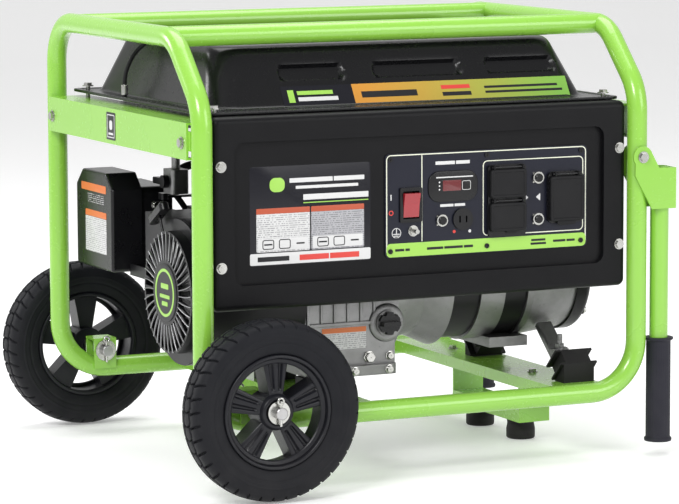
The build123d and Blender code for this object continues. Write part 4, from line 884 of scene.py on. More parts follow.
@dataclass
class FuelTank(Assembly):
    """The pressed tank: flange, sloping sides with three pockets, dished top."""

    flange_z: float = 500.0
    dome_top_z: float = 584.0
    pocket_z: tuple[float, float] = (538.0, 558.0)
    pockets: tuple[tuple[float, float], ...] = ((-175.5, -80.5), (-34.0, 98.0), (138.0, 244.0))
    pocket_depth: float = 8.5
    cap_at: Place = (-188.0, -10.0, 589.5)

    def shell_rows(self) -> np.ndarray:
        """Corner rows of the shell, from the pan's middle round the flange to the dish."""
        z, top = self.flange_z, self.dome_top_z
        corners = np.array(
            [
                [z - 34, 0, 15, 20, 12, 5],
                [z - 34, 0, 15, 256, 187.5, 34],
                [z - 0.2, 0, 15, 264, 194.5, 40],
                [z - 0.2, 0, 2, 311, 248, 12],
                [z + 4.0, 0, 2, 311, 248, 12],
                [z + 4.0, 0, 2, 305, 242, 11],
                [z + 2.6, 0, 2, 303, 240, 11],
                [z + 2.6, 0, 14.5, 284, 217.5, 34],
                [top, 0, 17, 258, 169, 34],
                [top, -5, 42, 219, 119, 34],
                [top - 9, -5, 42, 213, 113, 30],
                [top - 9, -5, 42, 14, 8, 5],
            ]
        )
        reach = np.array([0, 8, 6, 1.4, 1.6, 1.2, 1.0, 6, 13, 3.5, 3.5, 0.0])
        return densify(soften(corners, reach, 7), 4.6)

    def build(self) -> None:
        """Build the tank, its neck and cap, its hose and its badge band."""
        rows = self.shell_rows()
        shell = layered(rows, (0, 0, 0), Facing.UP, per_side=118, per_corner=14)
        points = shell.points / MM
        x, y, z = points.T
        front = (y < -120) & (z > self.flange_z + 3) & (z < self.dome_top_z - 2)
        depth = np.zeros(len(points))
        low, high = self.pocket_z
        for left, right in self.pockets:
            dx = np.abs(x - (left + right) / 2) - (right - left) / 2 + 7
            dz = np.abs(z - (low + high) / 2) - (high - low) / 2 + 7
            away = np.hypot(np.maximum(dx, 0), np.maximum(dz, 0)) + np.minimum(np.maximum(dx, dz), 0) - 7
            t = np.clip((1.6 - away) / 4.4, 0, 1)
            depth = np.maximum(depth, self.pocket_depth * t * t * (3 - 2 * t))
        depth = np.where(front, depth, 0)
        points[:, 1] += depth * 0.855
        points[:, 2] -= depth * 0.3
        shell.points = points * MM
        cx, cy, _ = self.cap_at
        neck = turned(
            closed_path([(570, 21), (590, 21), (590, 25.5), (586.5, 25.5), (585, 28), (570, 28)], 1.0, 2.0),
            (cx, cy, 0),
            Facing.UP,
        )
        self.add("tank_shell", shell, TANK, "tank_black", ("fuel_tank",))
        self.add("filler_neck", neck, TANK, "tank_black")
        self.build_cap()
        self.build_hose()
        self.build_band()

    def build_cap(self) -> None:
        """Turn the cap with its gripping flutes and set its bar handle on top."""
        cx, cy, cz = self.cap_at
        profile = closed_path(
            [
                (-9, 17), (-9, 20.4), (0.4, 20.4), (0.4, 28), (5.5, 28), (7.5, 24), (8.5, 12), (8.5, 3),
                (5, 3), (-1, 17),
            ],
            1.2,
            1.2,
        )
        steps = 240
        angle = np.arange(steps) * 2 * np.pi / steps
        on_rim = np.exp(-(((profile[:, :1] - 3) / 3.0) ** 2)) * (profile[:, 1:2] > 26)
        flutes = 0.7 * on_rim * np.cos(24 * angle)[None, :] - 0.7 * on_rim
        cap = turned(profile, (cx, cy, cz), Facing.UP, steps, flutes)
        t = np.linspace(0, 1, 9)
        rise = 6.5 + 8.4 * np.sin(t * np.pi / 2)
        draw = 1 - 0.25 * t**3
        zero = np.zeros_like(t)
        bar = layered(
            np.stack([rise, zero, zero, 17 * draw, 3.6 * draw, 3.5 * draw], 1), (cx, cy, cz), Facing.UP
        )
        hub = turned(
            closed_path([(5, 0.6), (5, 9), (11, 8), (14, 5), (14, 0.6)], 1.0, 1.0),
            (cx, cy, cz),
            Facing.UP,
            48,
        )
        self.add("fuel_cap_turned", cap + bar + hub, ZINC, "zinc", ("fuel_cap",), "fuel_cap_body")

    def build_hose(self) -> None:
        """Run the breather hose from the flange up to the filler neck."""
        route = rounded_route(
            [(-300, 72, 503), (-300, 72, 536), (-287, 66, 566), (-262, 50, 589), (-222, 20, 593)], 14
        )
        clip = turned(
            closed_path([(506, 2.9), (506, 4.8), (520, 4.8), (520, 2.9)], 0.5, 1.5),
            (-300, 72, 0),
            Facing.UP,
            32,
        )
        self.add("breather_hose", tube(route, 3.0), RUBBER, "soft_rubber", ("vent_hose",))
        self.add("hose_clip", clip, ZINC, "zinc")

    def build_band(self) -> None:
        """Lay the coloured band low on the tank's sloping front."""
        slope = np.array([51.0, 81.4]) / np.hypot(51.0, 81.4)
        for name, left, right, low, high, finish, lift in (
            ("tank_badge_dark", -180, -74, 504, 530, STICKER, 0.35),
            ("tank_badge_band", -74, 256, 504, 530, TANK_BAND, 0.35),
            ("tank_badge_leaf", -171, -162, 509, 525, LIME_INK, 0.55),
            ("tank_badge_upper", -157, -104, 518.5, 523.5, LIME_INK, 0.55),
            ("tank_badge_lower", -157, -98, 510.5, 515.5, PLAIN_WHITE, 0.55),
            ("tank_badge_bar_0", -62, 22, 512, 520, BLACK_INK, 0.55),
            ("tank_badge_bar_1", 60, 104, 519, 524, RED_INK, 0.55),
            ("tank_badge_bar_2", 60, 104, 510, 515, BLACK_INK, 0.55),
            ("tank_badge_bar_3", 126, 240, 518, 521, BLACK_INK, 0.55),
            ("tank_badge_bar_4", 126, 246, 511.5, 514.5, BLACK_INK, 0.55),
        ):
            height = np.linspace(low, high, 8)
            x = np.linspace(left, right, 40)
            grid_x, grid_z = np.meshgrid(x, height)
            grid_y = -203 + (grid_z - 502.6) * slope[0] / slope[1]
            front = np.stack([grid_x, grid_y - lift, grid_z + 0.2], -1).reshape(-1, 3)
            back = front + (0, 0.9, 0)
            columns, rows = 40, 8
            r, c = np.meshgrid(np.arange(rows - 1), np.arange(columns - 1), indexing="ij")
            a = (r * columns + c).ravel()
            quads = np.stack([a, a + 1, a + columns + 1, a + columns], 1)
            size = rows * columns
            rim = np.concatenate(
                [
                    np.arange(columns),
                    columns * np.arange(1, rows) + columns - 1,
                    size - 2 - np.arange(columns - 1),
                    columns * np.arange(rows - 2, 0, -1),
                ]
            )
            walls = np.stack([rim, np.roll(rim, -1), np.roll(rim, -1) + size, rim + size], 1)
            uv = np.tile(np.stack([grid_x, grid_z], -1).reshape(-1, 2), (2, 1))
            self.add(
                name,
                Surface(np.vstack([front, back]) * MM, [quads, quads[:, ::-1] + size, walls[:, ::-1]], uv),
                finish,
            )


@dataclass
class Wheel(Assembly):
    """A pneumatic-pattern tyre on a moulded five-spoke rim."""

    side: int = -1
    centre_x: float = -264.5
    centre_y: float = 340.0
    radius: float = 120.5
    spokes: int = 5

    def place(self) -> tuple[Place, Facing]:
        """Where the wheel's axis starts and which way it faces out."""
        return (
            self.centre_x, self.side * self.centre_y, self.radius
        ), Facing.FRONT if self.side < 0 else Facing.BACK

    def tyre(self) -> Surface:
        """Turn the tyre's section and press the tread's grooves into its crown."""
        corners = [
            (-22, 76.2), (-25.5, 84), (-28.6, 97), (-28.2, 107), (-25.5, 114.5), (-18, 118.8), (0, 120.5),
            (18, 118.8), (25.5, 114.5), (28.2, 107), (28.6, 97), (25.5, 84), (22, 76.2), (18, 75.2),
            (-18, 75.2),
        ]
        profile = closed_path(corners, 4.0, 1.05)
        steps = 720
        angle = np.arange(steps) * 2 * np.pi / steps
        y, r = profile[:, :1], profile[:, 1:2]
        blocks = 40
        wave = 2.6 * (2 / np.pi) * np.arcsin(np.sin(angle * blocks))[None, :]
        middle = np.minimum(np.abs(y - 8.5 - wave * 0.55), np.abs(y + 8.5 + wave * 0.55))
        ring_groove = np.clip((1.9 - middle) / 0.7, 0, 1)
        lean = (angle * blocks / 2)[None, :] + np.abs(y) * 0.06
        cross = np.abs(np.sin(lean)) * 2 * self.radius / blocks
        bars = np.clip((1.7 - cross) / 0.7, 0, 1) * (np.abs(y) > 10.5)
        centre_bars = np.clip(
            (1.1 - np.abs(np.sin(lean + 0.8)) * 2 * self.radius / blocks) / 0.6, 0, 1
        ) * (np.abs(y) < 7)
        groove = np.maximum(np.maximum(ring_groove, bars), centre_bars)
        crown = np.clip((r - 111.5) / 3.0, 0, 1)
        push = -3.4 * groove * crown
        bead = 0.8 * np.exp(-(((r - 100.5) / 1.1) ** 2)) - 0.9 * np.exp(-(((r - 91.0) / 1.4) ** 2))
        profile[:, 0] += (np.sign(profile[:, :1]) * bead * (np.abs(y) > 22))[:, 0]
        origin, facing = self.place()
        return turned(profile, origin, facing, steps, push)

    def spoke(self, turn: float) -> Surface:
        """One spoke: a box section that widens outwards, with two long grooves.

        The outer face is its full depth less a groove wherever the point lies
        near a quarter of the width from the middle.

        Args:
            turn: The spoke's angle round the axis.

        Returns:
            The spoke's surface.
        """
        radial = np.linspace(21, 71, 34)
        share = np.linspace(-1, 1, 33)
        half = np.interp(radial, (21, 71), (9.5, 18.5))
        face = np.interp(radial, (21, 71), (18.5, 15.5))
        fade = np.clip((radial - 27) / 4, 0, 1) * np.clip((67 - radial) / 4, 0, 1)
        groove = 3.6 * np.exp(-(((np.abs(share) - 0.42) / 0.17) ** 4))
        top = face[:, None] - groove[None, :] * fade[:, None] - 1.6 * (share[None, :] ** 8)
        bottom = np.full_like(top, -16.5)
        s = np.concatenate([half[:, None] * share[None, :], half[:, None] * share[None, ::-1]], 1)
        h = np.concatenate([top, bottom], 1)
        origin, facing = self.place()
        across, along, rise = (np.array(a, float) for a in facing.value)
        out = np.cos(turn) * across + np.sin(turn) * along
        side = -np.sin(turn) * across + np.cos(turn) * along
        points = np.array(origin) + radial[:, None, None] * out + s[..., None] * side + h[..., None] * rise
        columns = s.shape[1]
        count = len(radial)
        faces = capped_faces(count, columns)
        return Surface(points.reshape(-1, 3) * MM, faces, np.stack([s, h], -1).reshape(-1, 2))

    def build(self) -> None:
        """Build the tyre, then the rim from its ring, hub and spokes."""
        origin, facing = self.place()
        name = "front" if self.side < 0 else "rear"
        self.add(f"{name}_tyre_tread", self.tyre(), TYRE, "tyre_rubber", (f"{name}_tyre",))
        ring = turned(
            closed_path(
                [(-24, 76), (-24, 71), (-19, 69), (15, 69), (20, 70.5), (23.5, 71), (25, 73), (24, 76)],
                1.6,
                2.0,
            ),
            origin,
            facing,
            160,
        )
        lip = turned(
            closed_path([(13.5, 70.0), (13.5, 64.5), (16.5, 63.5), (18.5, 65.5), (19.5, 70.0)], 0.8, 1.0),
            origin,
            facing,
            160,
        )
        hub = turned(
            closed_path(
                [
                    (-25, 8.2), (-25, 24), (-14, 25), (12, 25), (18, 24.5), (23.5, 21), (24, 17),
                    (21, 15.5), (21, 8.2),
                ],
                1.6,
                1.5,
            ),
            origin,
            facing,
            96,
        )
        rim = ring + lip + hub
        for spoke in range(self.spokes):
            rim = rim + self.spoke(np.pi / 2 + spoke * 2 * np.pi / self.spokes)
        self.add(f"{name}_rim_moulded", rim, RIM, "rim_plastic", (f"{name}_rim",))


@dataclass
class HandleGrip(Assembly):
    """A ribbed foam grip with a flange at each end."""

    side: int = -1
    centre_x: float = 364.0
    centre_y: float = 264.5
    low_z: float = 19.0
    high_z: float = 166.0

    def build(self) -> None:
        """Turn the grip with fine ribs between its flanges."""
        name = "front" if self.side < 0 else "rear"
        low, high = self.low_z, self.high_z
        corners = [
            (low, 5), (low, 19.0), (low + 4, 19.4), (low + 6, 17.2), (high - 5, 17.2), (high - 3, 20.6),
            (high, 20.6), (high, 13.1), (low + 4, 13.1), (low + 3.5, 5),
        ]
        profile = closed_path(corners, 0.9, 0.7)
        along = (profile[:, :1] > low + 9) & (profile[:, :1] < high - 8) & (profile[:, 1:2] > 16)
        steps = 120
        angle = np.arange(steps) * 2 * np.pi / steps
        ribs = -0.35 * along * (0.5 + 0.5 * np.cos(angle * 30))[None, :]
        grip = turned(profile, (self.centre_x, self.side * self.centre_y, 0), Facing.UP, steps, ribs)
        self.add(f"{name}_grip_ribbed", grip, GRIP, "grip_rubber", (f"{name}_grip",))


@dataclass
class Feet(Assembly):
    """The two rubber buffers under the support leg."""

    centre_x: float = 254.0
    spread: float = 63.0
    radius: float = 20.8

    def build(self) -> None:
        """Turn both buffers with a waist and a moulded tread ring."""
        r = self.radius
        corners = [
            (0, 8.5), (0, r - 1.5), (2, r), (14, r), (22, r - 1.6), (30, r), (43.8, r), (43.8, 0.8),
            (14, 0.8), (14, 8.5),
        ]
        profile = closed_path(corners, 1.4, 1.6)
        both = turned(profile, (self.centre_x, -self.spread, 0), Facing.UP, 72) + turned(
            profile, (self.centre_x, self.spread, 0), Facing.UP, 72
        )
        self.add("moulded_feet", both, RUBBER, "soft_rubber", ("rubber_feet",))


@dataclass
class ControlPanel(Assembly):
    """The printing, labels, meter and sprung covers of the control side."""

    plate_y: float = -258.0
    cover_y: float = -256.0

    def ink(
        self,
        name: str,
        x: float,
        z: float,
        width: float,
        height: float,
        finish: Finish,
        corner: float = 0.6,
        y: float = 0.0,
        thick: float = INK,
    ) -> None:
        """Lay one printed or stuck patch on the panel.

        Args:
            name: The piece's name.
            x: Its middle along X.
            z: Its middle along Z.
            width: Its width.
            height: Its height.
            finish: Its finish.
            corner: Its corner radius.
            y: The surface that it lies on, or 0 for the plate.
            thick: Its thickness.
        """
        self.add(
            name,
            slab(width, height, thick, corner, thick * 0.4, (x, y or self.plate_y, z), Facing.FRONT),
            finish,
        )

    def legend(
        self,
        x: float,
        z: float,
        width: float,
        height: float,
        y: float,
        words: tuple[float, ...],
    ) -> Surface:
        """A line of plain dashes where the real panel has words.

        Args:
            x: The line's middle along X.
            z: The line's middle along Z.
            width: Its whole width.
            height: The dashes' height.
            y: The surface that it is printed on.
            words: The relative length of each dash.

        Returns:
            The dashes' surface.
        """
        lengths = np.array(words) / sum(words) * (width - 1.6 * (len(words) - 1))
        starts = x - width / 2 + np.concatenate([[0], np.cumsum(lengths + 1.6)[:-1]])
        return joined(
            [
                slab(length, height, 0.2, 0.5, 0.05, (start + length / 2, y, z), Facing.FRONT)
                for start, length in zip(starts, lengths)
            ]
        )

    def print_plate(self) -> None:
        """Print the plate's band, frames, dividers and symbols."""
        y = self.plate_y
        self.ink("plate_lime_band", 97, 309.2, 306, 18.4, LIME_INK, 6)
        frame_lines = band(306.5, 137.5, 1.4, 7, (97, y, 369.6), Facing.FRONT)
        frame_lines = frame_lines + band(156, 103, 1.3, 7, (168, y, 373.4), Facing.FRONT)
        frame_lines = frame_lines + slab(1.3, 118, 0.2, 0.3, 0.05, (-2.6, y, 378.5), Facing.FRONT)
        self.add("plate_frame_lines", frame_lines, CREAM_INK)
        marks = slab(1.6, 8, 0.2, 0.3, 0.05, (-49, y, 381), Facing.FRONT)
        for index, width in enumerate((10, 6.5, 3)):
            marks = marks + slab(width, 1.2, 0.2, 0.3, 0.05, (-41, y, 331 - 2.4 * index), Facing.FRONT)
        marks = marks + slab(1.2, 7, 0.2, 0.3, 0.05, (-41, y, 335), Facing.FRONT)
        marks = marks + band(14, 14, 0.9, 7, (-41, y, 332.5), Facing.FRONT)
        for arrow_x, sign in ((156.6, 1), (175.9, -1)):
            for step in range(5):
                marks = marks + slab(
                    1.25, 2 + 1.9 * step, 0.2, 0.2, 0.05, (arrow_x + sign * (2.5 - 1.2 * step), y, 371.2),
                    Facing.FRONT,
                )
        marks = marks + slab(4.4, 4.4, 0.2, 2.19, 0.05, (70.1, y, 329.8), Facing.FRONT)
        marks = marks + self.legend(44, 424.5, 52, 4.6, y, (7, 5)) + self.legend(
            44, 366.5, 38, 3.6, y, (5, 4)
        )
        self.add("plate_marks", marks, PLAIN_WHITE)
        on_band = self.legend(-32, 309.2, 22, 3.4, y - INK, (4, 2)) + self.legend(
            40, 309.2, 70, 3.4, y - INK, (7, 8, 4)
        )
        on_band = on_band + self.legend(176, 312, 22, 3, y - INK, (7,)) + self.legend(
            176, 307, 24, 3, y - INK, (7,)
        )
        on_band = on_band + self.legend(216, 309.2, 34, 3.2, y - INK, (6, 4))
        self.add("band_legends", on_band, BLACK_INK)
        stops = band(7, 7, 1.3, 3.4, (-49, y, 360), Facing.FRONT) + slab(
            4.4, 4.4, 0.2, 2.19, 0.05, (46.3, y, 330.2), Facing.FRONT
        )
        self.add("plate_red_marks", stops, RED_INK)

    def stick_labels(self) -> None:
        """Lay the stickers on the cover's recessed floor."""
        y = self.cover_y
        self.ink("cover_dark_sticker", -167.5, 365, 177, 132, STICKER, 4, y)
        self.ink("cover_white_strip", -167.5, 307.8, 177, 15.5, PLAIN_WHITE, 2, y - INK)
        self.add("cover_strip_bar", self.legend(-222, 307.6, 46, 6.4, y - 2 * INK, (5,)), BLACK_INK)
        self.add("cover_strip_bars", self.legend(-140, 307.6, 88, 7.4, y - 2 * INK, (4, 4)), RED_INK)
        title = self.legend(-143, 411, 110, 6, y - INK, (7, 5)) + self.legend(
            -143, 401.5, 92, 4, y - INK, (7,)
        )
        self.add("cover_title_bars", title + self.legend(-130, 388, 96, 7.5, y - INK, (9,)), PLAIN_WHITE)
        self.ink("cover_title_leaf", -216, 406, 22, 19, LIME_INK, 8, y - INK)
        self.ink("cover_title_line", -130, 380.5, 96, 1.3, LIME_INK, 0.5, y - INK)
        for name, x, finish in (("left", -207.5, WHITE_INK), ("right", -127.5, GREY_INK)):
            self.ink(f"warning_panel_{name}", x, 342.5, 78, 51, finish, 1.5, y - INK)
            self.ink(f"warning_header_{name}", x, 371.5, 78, 7.5, DANGER_INK, 1, y - INK)
            self.ink(f"warning_blank_{name}", x, 327, 74, 16, PLAIN_WHITE, 1.5, y - 2 * INK)
            pictures = band(17, 13, 1.2, 3, (x - 22, y - 3 * INK, 327), Facing.FRONT) + band(
                17, 13, 1.2, 3, (x + 2, y - 3 * INK, 327), Facing.FRONT
            )
            pictures = pictures + slab(
                12, 2, 0.2, 0.6, 0.05, (x - 22, y - 3 * INK, 327), Facing.FRONT
            ) + slab(12, 2, 0.2, 0.6, 0.05, (x + 25, y - 3 * INK, 327), Facing.FRONT)
            self.add(f"warning_pictures_{name}", pictures, BLACK_INK)

    def dress_meter(self) -> None:
        """Set the meter's glossy case, window, bar, dots and button."""
        y = self.plate_y
        case = slab(75, 42, 2.1, 16, 1.2, (44, y, 392.5), Facing.FRONT)
        self.add("meter_case", case, BLACK, "black_plastic", ("digital_meter",))
        self.ink("meter_window", 42, 393.5, 28, 14.5, RED_WINDOW, 1, y - 2.05, 0.5)
        details = slab(56, 1.6, 0.2, 0.4, 0.05, (46, y - 2.05, 405), Facing.FRONT)
        for dot_z in (388.5, 393.5, 398.5):
            details = details + slab(2.4, 2.4, 0.2, 1.19, 0.05, (23, y - 2.05, dot_z), Facing.FRONT)
        details = details + band(13.2, 12.8, 0.8, 2.4, (64, y - 2.05, 393), Facing.FRONT)
        self.add("meter_marks", details, PLAIN_WHITE)
        self.add("meter_button", slab(11, 11, 1.0, 1.6, 0.5, (64, y - 2.05, 393), Facing.FRONT), BLACK)

    def flap(
        self,
        name: str,
        x: float,
        z: float,
        width: float,
        height: float,
        hinge_z: float,
        ear_x: float,
        tongue: tuple[float, float, float, float],
        body: str,
    ) -> None:
        """Build one sprung outlet cover with a raised border, ears and a tongue.

        Args:
            name: The CAD node that it stands for.
            x: Its middle along X.
            z: Its middle along Z.
            width: Its width.
            height: Its height.
            hinge_z: Its pin's height.
            ear_x: How far its ears sit from its middle.
            tongue: The tongue's x, z, width and height.
            body: The body that it rides on.
        """
        back = self.plate_y - 6
        t = np.linspace(0, np.pi / 2, 5)
        rise = np.concatenate([[0.0], 3.4 + 1.6 * np.sin(t), [5.0, 4.1, 4.0, 4.0]])
        inset = np.concatenate([[0.0], 1.6 * (1 - np.cos(t)), [3.6, 4.4, 6.0, 12.0]])
        zero = np.zeros_like(rise)
        corner = np.maximum(4.5 - inset, 1.2)
        leaf = layered(
            np.stack([rise, zero, zero, width / 2 - inset, height / 2 - inset, corner], 1),
            (x, back, z),
            Facing.FRONT,
        )
        for sign in (-1, 1):
            ear = turned(
                closed_path([(-1.5, 1.55), (-1.5, 3.1), (1.5, 3.1), (1.5, 1.55)], 0.4, 0.8),
                (x + sign * ear_x, self.plate_y - 9, hinge_z),
                Facing.RIGHT,
                32,
            )
            leaf = leaf + ear + slab(
                3, 7, 3.6, 0.6, 0.4, (x + sign * ear_x, back, hinge_z - 4.6), Facing.FRONT
            )
        tx, tz, tw, th = tongue
        leaf = leaf + slab(tw, th, 3.2, th * 0.48, 0.8, (tx, back, tz), Facing.FRONT)
        self.add(f"{name}_moulded", leaf, RUBBER, "soft_rubber", (name,), body)

    def build(self) -> None:
        """Print the plate, stick the labels, set the meter and hang the covers."""
        self.print_plate()
        self.stick_labels()
        self.dress_meter()
        self.flap("upper_outlet_cover", 125, 393, 55, 39, 415.5, 22, (131, 374.5, 18, 5), "upper_cover")
        self.flap("lower_outlet_cover", 125, 347, 55, 39, 369.5, 22, (131, 328.5, 18, 8), "lower_cover")
        self.flap("twist_lock_cover", 216, 368.2, 52, 62, 402.2, 18, (216, 336.2, 30, 9), "twist_cover")


@dataclass
class EngineDress(Assembly):
    """The labels, badge, ribs, hoses and fittings of the engine side."""

    def badge(self) -> None:
        """Turn the recoil cover's plain badge with its green ring."""
        at = (-306, CRANK_Y, CRANK_Z)
        disc = turned(
            closed_path([(0, 0.5), (0, 40), (1.2, 39.5), (1.6, 37), (1.6, 0.5)], 0.5, 1.2),
            at,
            Facing.LEFT,
            96,
        )
        self.add("recoil_badge", disc, BLACK_INK)
        ring = turned(
            closed_path([(1.4, 29), (1.4, 33), (2.0, 33), (2.0, 29)], 0.2, 1.2), at, Facing.LEFT, 96
        )
        for dz, width, height in ((9, 26, 7), (-5, 34, 5), (-15, 20, 6)):
            ring = ring + slab(width, height, 0.4, 1.5, 0.1, (at[0] - 1.5, at[1], at[2] + dz), Facing.LEFT)
        self.add("recoil_badge_ring", ring, LIME_INK)

    def ribs(self) -> None:
        """Set the ribs that run out over the recoil cover's grille; their silver-grey colour is painted
        highlight on ribs that are really black.
        """
        made: list[Surface] = []
        for turn in np.arange(36) * 2 * np.pi / 36:
            radial = np.linspace(43, 83, 16)
            share = np.linspace(0, np.pi, 7)
            side = np.cos(share) * 0.9
            up = 1.4 * np.sin(share)
            points = np.empty((16, 8, 3))
            lean = turn + 0.05 * ((radial - 43) / 40) ** 2
            out = np.stack([0 * lean, -np.cos(lean), np.sin(lean)], 1)[:, None]
            along = np.stack([0 * lean, np.sin(lean), np.cos(lean)], 1)[:, None]
            s, h = np.append(side, 0.0), np.append(up, -0.6)
            dome = 1.5 * (1 - ((radial - 43) / 40) ** 2)
            points[:] = np.array(
                (-303.2, CRANK_Y, CRANK_Z)
            ) + radial[:, None, None] * out + s[None, :, None] * along
            points[..., 0] -= h[None, :] + dome[:, None]
            made.append(Surface(points.reshape(-1, 3) * MM, capped_faces(16, 8), np.zeros((128, 2))))
        self.add("recoil_ribs", joined(made), RIB_PAINTED_HIGHLIGHT)

    def air_cleaner(self) -> None:
        """Label the air cleaner's outer face."""
        origin = (-308, 175, 318)
        for name, dy, dz, width, height, finish in (
            ("air_label_header", 0, 49, 94, 11, ORANGE_INK),
            ("air_label_note", -8, 33, 62, 14, BLACK_NOTE),
            ("air_label_table_head", -8, 12, 80, 9, ORANGE_INK),
            ("air_label_table", -8, -18, 80, 50, WHITE_INK),
        ):
            at = (origin[0], origin[1] + dy, origin[2] + dz)
            self.add(name, slab(width, height, 0.3, 1.5, 0.1, at, Facing.LEFT), finish)

    def small_labels(self) -> None:
        """Stick the crankcase label and the brace's picture label."""
        self.add("crankcase_label", slab(67, 30, 0.3, 2, 0.1, (-77.5, -169, 180), Facing.FRONT), WHITE_INK)
        self.add(
            "crankcase_label_head",
            slab(67, 7, 0.3, 1, 0.1, (-77.5, -169.3, 191.5), Facing.FRONT),
            ORANGE_INK,
        )
        self.add("brace_label", slab(33, 38, 0.3, 2, 0.1, (-344.5, 13, 468.5), Facing.LEFT), BLACK_INK)
        picture = band(27, 32, 1.3, 2, (-344.8, 13, 468.5), Facing.LEFT) + slab(
            11, 13, 0.2, 4, 0.1, (-344.8, 13, 470), Facing.LEFT
        )
        self.add(
            "brace_picture", picture + slab(17, 3, 0.2, 1, 0.1, (-344.8, 13, 458), Facing.LEFT), PLAIN_WHITE
        )

    def hoses(self) -> None:
        """Run the fuel hose, the plug lead with its cap, the switch wires and the breather pipe."""
        fuel = rounded_route(
            [(-240, 50, 384), (-240, 66, 384), (-228, 86, 372), (-206, 90, 346), (-196, 84, 326)], 12
        )
        self.add("fuel_hose", tube(fuel, 4.2), RUBBER, "soft_rubber")
        lead = rounded_route(
            [(-148, -40, 330), (-158, -8, 356), (-150, 34, 378), (-128, 70, 386), (-118, 92, 372)], 16
        )
        self.add("plug_lead", tube(lead, 3.6), RUBBER, "soft_rubber")
        cap = rounded_route([(-118, 92, 372), (-112, 98, 360), (-104, 96, 350)], 5)
        self.add("plug_cap", tube(cap, 7.5, 24), RUBBER, "soft_rubber")
        wires = rounded_route(
            [(-150, -60, 322), (-172, -70, 362), (-178, -110, 396), (-160, -170, 404), (-110, -228, 396)],
            20,
        )
        self.add("switch_wires", tube(wires, 4.5), RUBBER, "soft_rubber")
        breather = rounded_route(
            [(-60, 118, 372), (-84, 132, 398), (-132, 146, 402), (-186, 150, 392), (-206, 150, 366)], 18
        )
        self.add("breather_pipe", tube(breather, 6.0), RUBBER, "soft_rubber")

    def fittings(self) -> None:
        """Set the crankcase's ribs, the bolt heads and the drain plug."""
        face_y = -169.0
        ribs = slab(5, 66, 3.0, 1.5, 1.0, (-132, face_y + 0.5, 212), Facing.FRONT)
        for x in (-112, -92, -72, -52, -32):
            ribs = ribs + slab(4, 40, 2.6, 1.2, 1.0, (x, face_y + 0.5, 222), Facing.FRONT)
        ribs = ribs + slab(138, 5, 3.0, 1.5, 1.0, (-66, face_y + 0.5, 200), Facing.FRONT)
        ribs = ribs + turned(
            closed_path([(0, 11), (0, 27), (3, 26), (4.5, 22), (4.5, 11)], 1.2, 1.5),
            (-13, face_y + 0.5, 198),
            Facing.FRONT,
            64,
        )
        self.add("crankcase_ribs", ribs, CAST, "cast_aluminium")
        heads: list[Surface] = []
        places = [(x, -180.0, 135, Facing.FRONT) for x in (-118, -66, -14)]
        places += [
            (x, face_y, z, Facing.FRONT)
            for x, z in ((-128, 238), (-4, 238), (-122, 152), (-8, 152))
        ]
        places += [(-240, 110.0, 345, Facing.FRONT), (-240, 110.0, 280, Facing.FRONT)]
        places += [
            (311.0, CRANK_Y + 78 * np.cos(a), CRANK_Z + 78 * np.sin(a), Facing.RIGHT)
            for a in np.radians((45, 135, 225, 315))
        ]
        for x, y, z, facing in places:
            head = turned(
                closed_path(
                    [(0, 0.4), (0, 6.4), (1.2, 6.4), (1.4, 4.9), (5, 4.7), (5.4, 4.2), (5.4, 0.4)], 0.3, 1.2
                ),
                (x, y, z),
                facing,
                24,
            )
            heads.append(head)
        self.add("small_bolt_heads", joined(heads), ZINC, "zinc")
        drain = turned(
            closed_path([(0, 0.5), (0, 9), (2, 9), (2.4, 7.2), (8, 7), (8, 0.5)], 0.5, 1.2),
            (-40, -169, 152),
            Facing.FRONT,
            6,
        )
        self.add("drain_plug", drain, ZINC, "zinc")

    def build(self) -> None:
        """Add every dress piece of the engine."""
        self.fittings()
        self.hoses()
        self.badge()
        self.ribs()
        self.air_cleaner()
        self.small_labels()


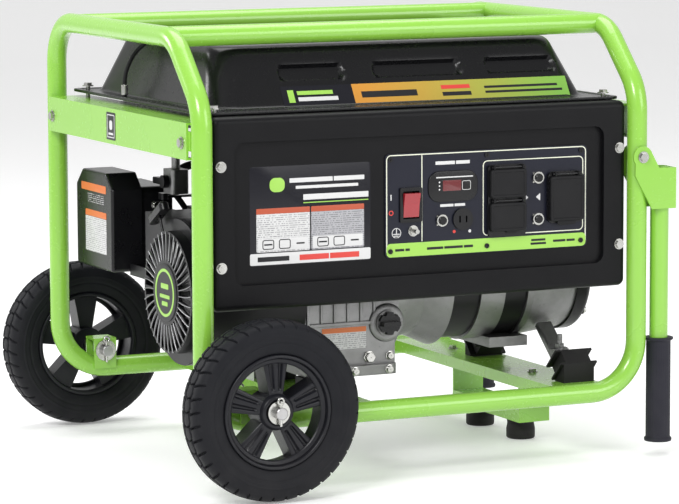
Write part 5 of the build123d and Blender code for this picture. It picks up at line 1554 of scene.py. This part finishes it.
@dataclass
class Studio:
    """Camera, lights and the pale floor."""

    shop: PaintShop
    lens: float = 188.35
    at: Place = (-2.1396, -4.5219, 0.8916)
    right: Place = (0.90424, -0.42704, 0.0)
    up: Place = (0.05212, 0.11035, 0.99253)
    back: Place = (-0.42385, -0.89748, 0.12204)
    roll: float = -0.21

    def floor(self) -> None:
        """Lay a floor that curves up into a backdrop behind the generator.

        Its height is 0 in front and rises as the square of the way past a line.
        """
        u = np.linspace(-14, 14, 24)
        v = np.linspace(-14, 14, 60)
        x, y = np.meshgrid(u, v)
        z = np.maximum(y - 6.5, 0) ** 2 * 0.25
        points = np.stack([x, y, z - 0.0005], -1).reshape(-1, 3)
        r, c = np.meshgrid(np.arange(59), np.arange(23), indexing="ij")
        a = (r * 24 + c).ravel()
        mesh = bpy.data.meshes.new("studio_floor")
        mesh.from_pydata(points.tolist(), [], np.stack([a, a + 1, a + 25, a + 24], 1).tolist())
        mesh.polygons.foreach_set("use_smooth", np.ones(len(mesh.polygons), bool))
        mesh.materials.append(self.shop.material(FLOOR))
        floor = bpy.data.objects.new("studio_floor", mesh)
        bpy.context.scene.collection.objects.link(floor)

    def light(self, name: str, at: Place, size: float, power: float) -> None:
        """Hang one square soft light that points at the generator's middle.

        Args:
            name: The light's name.
            at: Where it hangs, in metres.
            size: Its side, in metres.
            power: Its power, in watts.
        """
        lamp = bpy.data.lights.new(name, "AREA")
        lamp.shape, lamp.size, lamp.energy = "SQUARE", size, power
        held = bpy.data.objects.new(name, lamp)
        place = np.array(at, float)
        back = place - np.array((0, 0, 0.3))
        back /= np.linalg.norm(back)
        side = np.cross((0, 0, 1), back)
        side /= np.linalg.norm(side)
        up = np.cross(back, side)
        held.matrix_world = Matrix(
            [[*row, p] for row, p in zip(np.stack([side, up, back], 1), place)] + [[0, 0, 0, 1]]
        )
        bpy.context.scene.collection.objects.link(held)

    def camera(self) -> None:
        """Stand the camera at the fitted place, turn and lens."""
        lens = bpy.data.cameras.new("camera")
        lens.lens, lens.sensor_width = self.lens, 36
        lens.clip_start, lens.clip_end = 0.05, 60
        held = bpy.data.objects.new("camera", lens)
        turn = np.radians(self.roll)
        side, up = np.array(self.right), np.array(self.up)
        rolled_side = np.cos(turn) * side + np.sin(turn) * up
        rolled_up = -np.sin(turn) * side + np.cos(turn) * up
        axes = np.stack([rolled_side, rolled_up, np.array(self.back)], 1)
        held.matrix_world = Matrix([[*row, p] for row, p in zip(axes, self.at)] + [[0, 0, 0, 1]])
        bpy.context.scene.collection.objects.link(held)
        bpy.context.scene.camera = held

    def build(self) -> None:
        """Set the whole studio up."""
        self.floor()
        self.light("key", (-2.4, -2.2, 2.6), 1.2, 85)
        self.light("front_fill", (1.8, -3.2, 1.6), 1.8, 45)
        self.light("top", (0.2, 0.5, 3.2), 2.4, 70)
        self.light("rim", (-2.6, 2.4, 1.8), 1.0, 40)
        world = bpy.data.worlds.new("studio_light")
        world.use_nodes = True
        world.node_tree.nodes["Background"].inputs[0].default_value = (1, 1, 1, 1)
        world.node_tree.nodes["Background"].inputs[1].default_value = SURROUNDINGS
        bpy.context.scene.world = world
        bpy.context.scene.view_settings.view_transform = "Standard"
        self.camera()


def dress_cad(shop: PaintShop) -> None:
    """Give every CAD node the finish of its material slot.

    Args:
        shop: Where the finishes are made.
    """
    slots = {s["node"]: s["material_slot"] for s in frame["record"]["subparts"]}
    for name, node in frame["nodes"].items():
        node.data.materials.clear()
        node.data.materials.append(shop.material(SLOT_FINISHES[slots[name]]))


def main() -> None:
    """Build each sub-assembly in turn and set the studio up round them."""
    logging.basicConfig(level=logging.INFO)
    shop = PaintShop()
    dress_cad(shop)
    for assembly in (
        FuelTank(shop, "frame"),
        Wheel(shop, "front_wheel", side=-1),
        Wheel(shop, "rear_wheel", side=1),
        HandleGrip(shop, "front_handle_arm", side=-1),
        HandleGrip(shop, "rear_handle_arm", side=1),
        Feet(shop, "frame"),
        ControlPanel(shop, "frame"),
        EngineDress(shop, "frame"),
        Studio(shop),
    ):
        assembly.build()


if __name__ == "__main__":
    main()
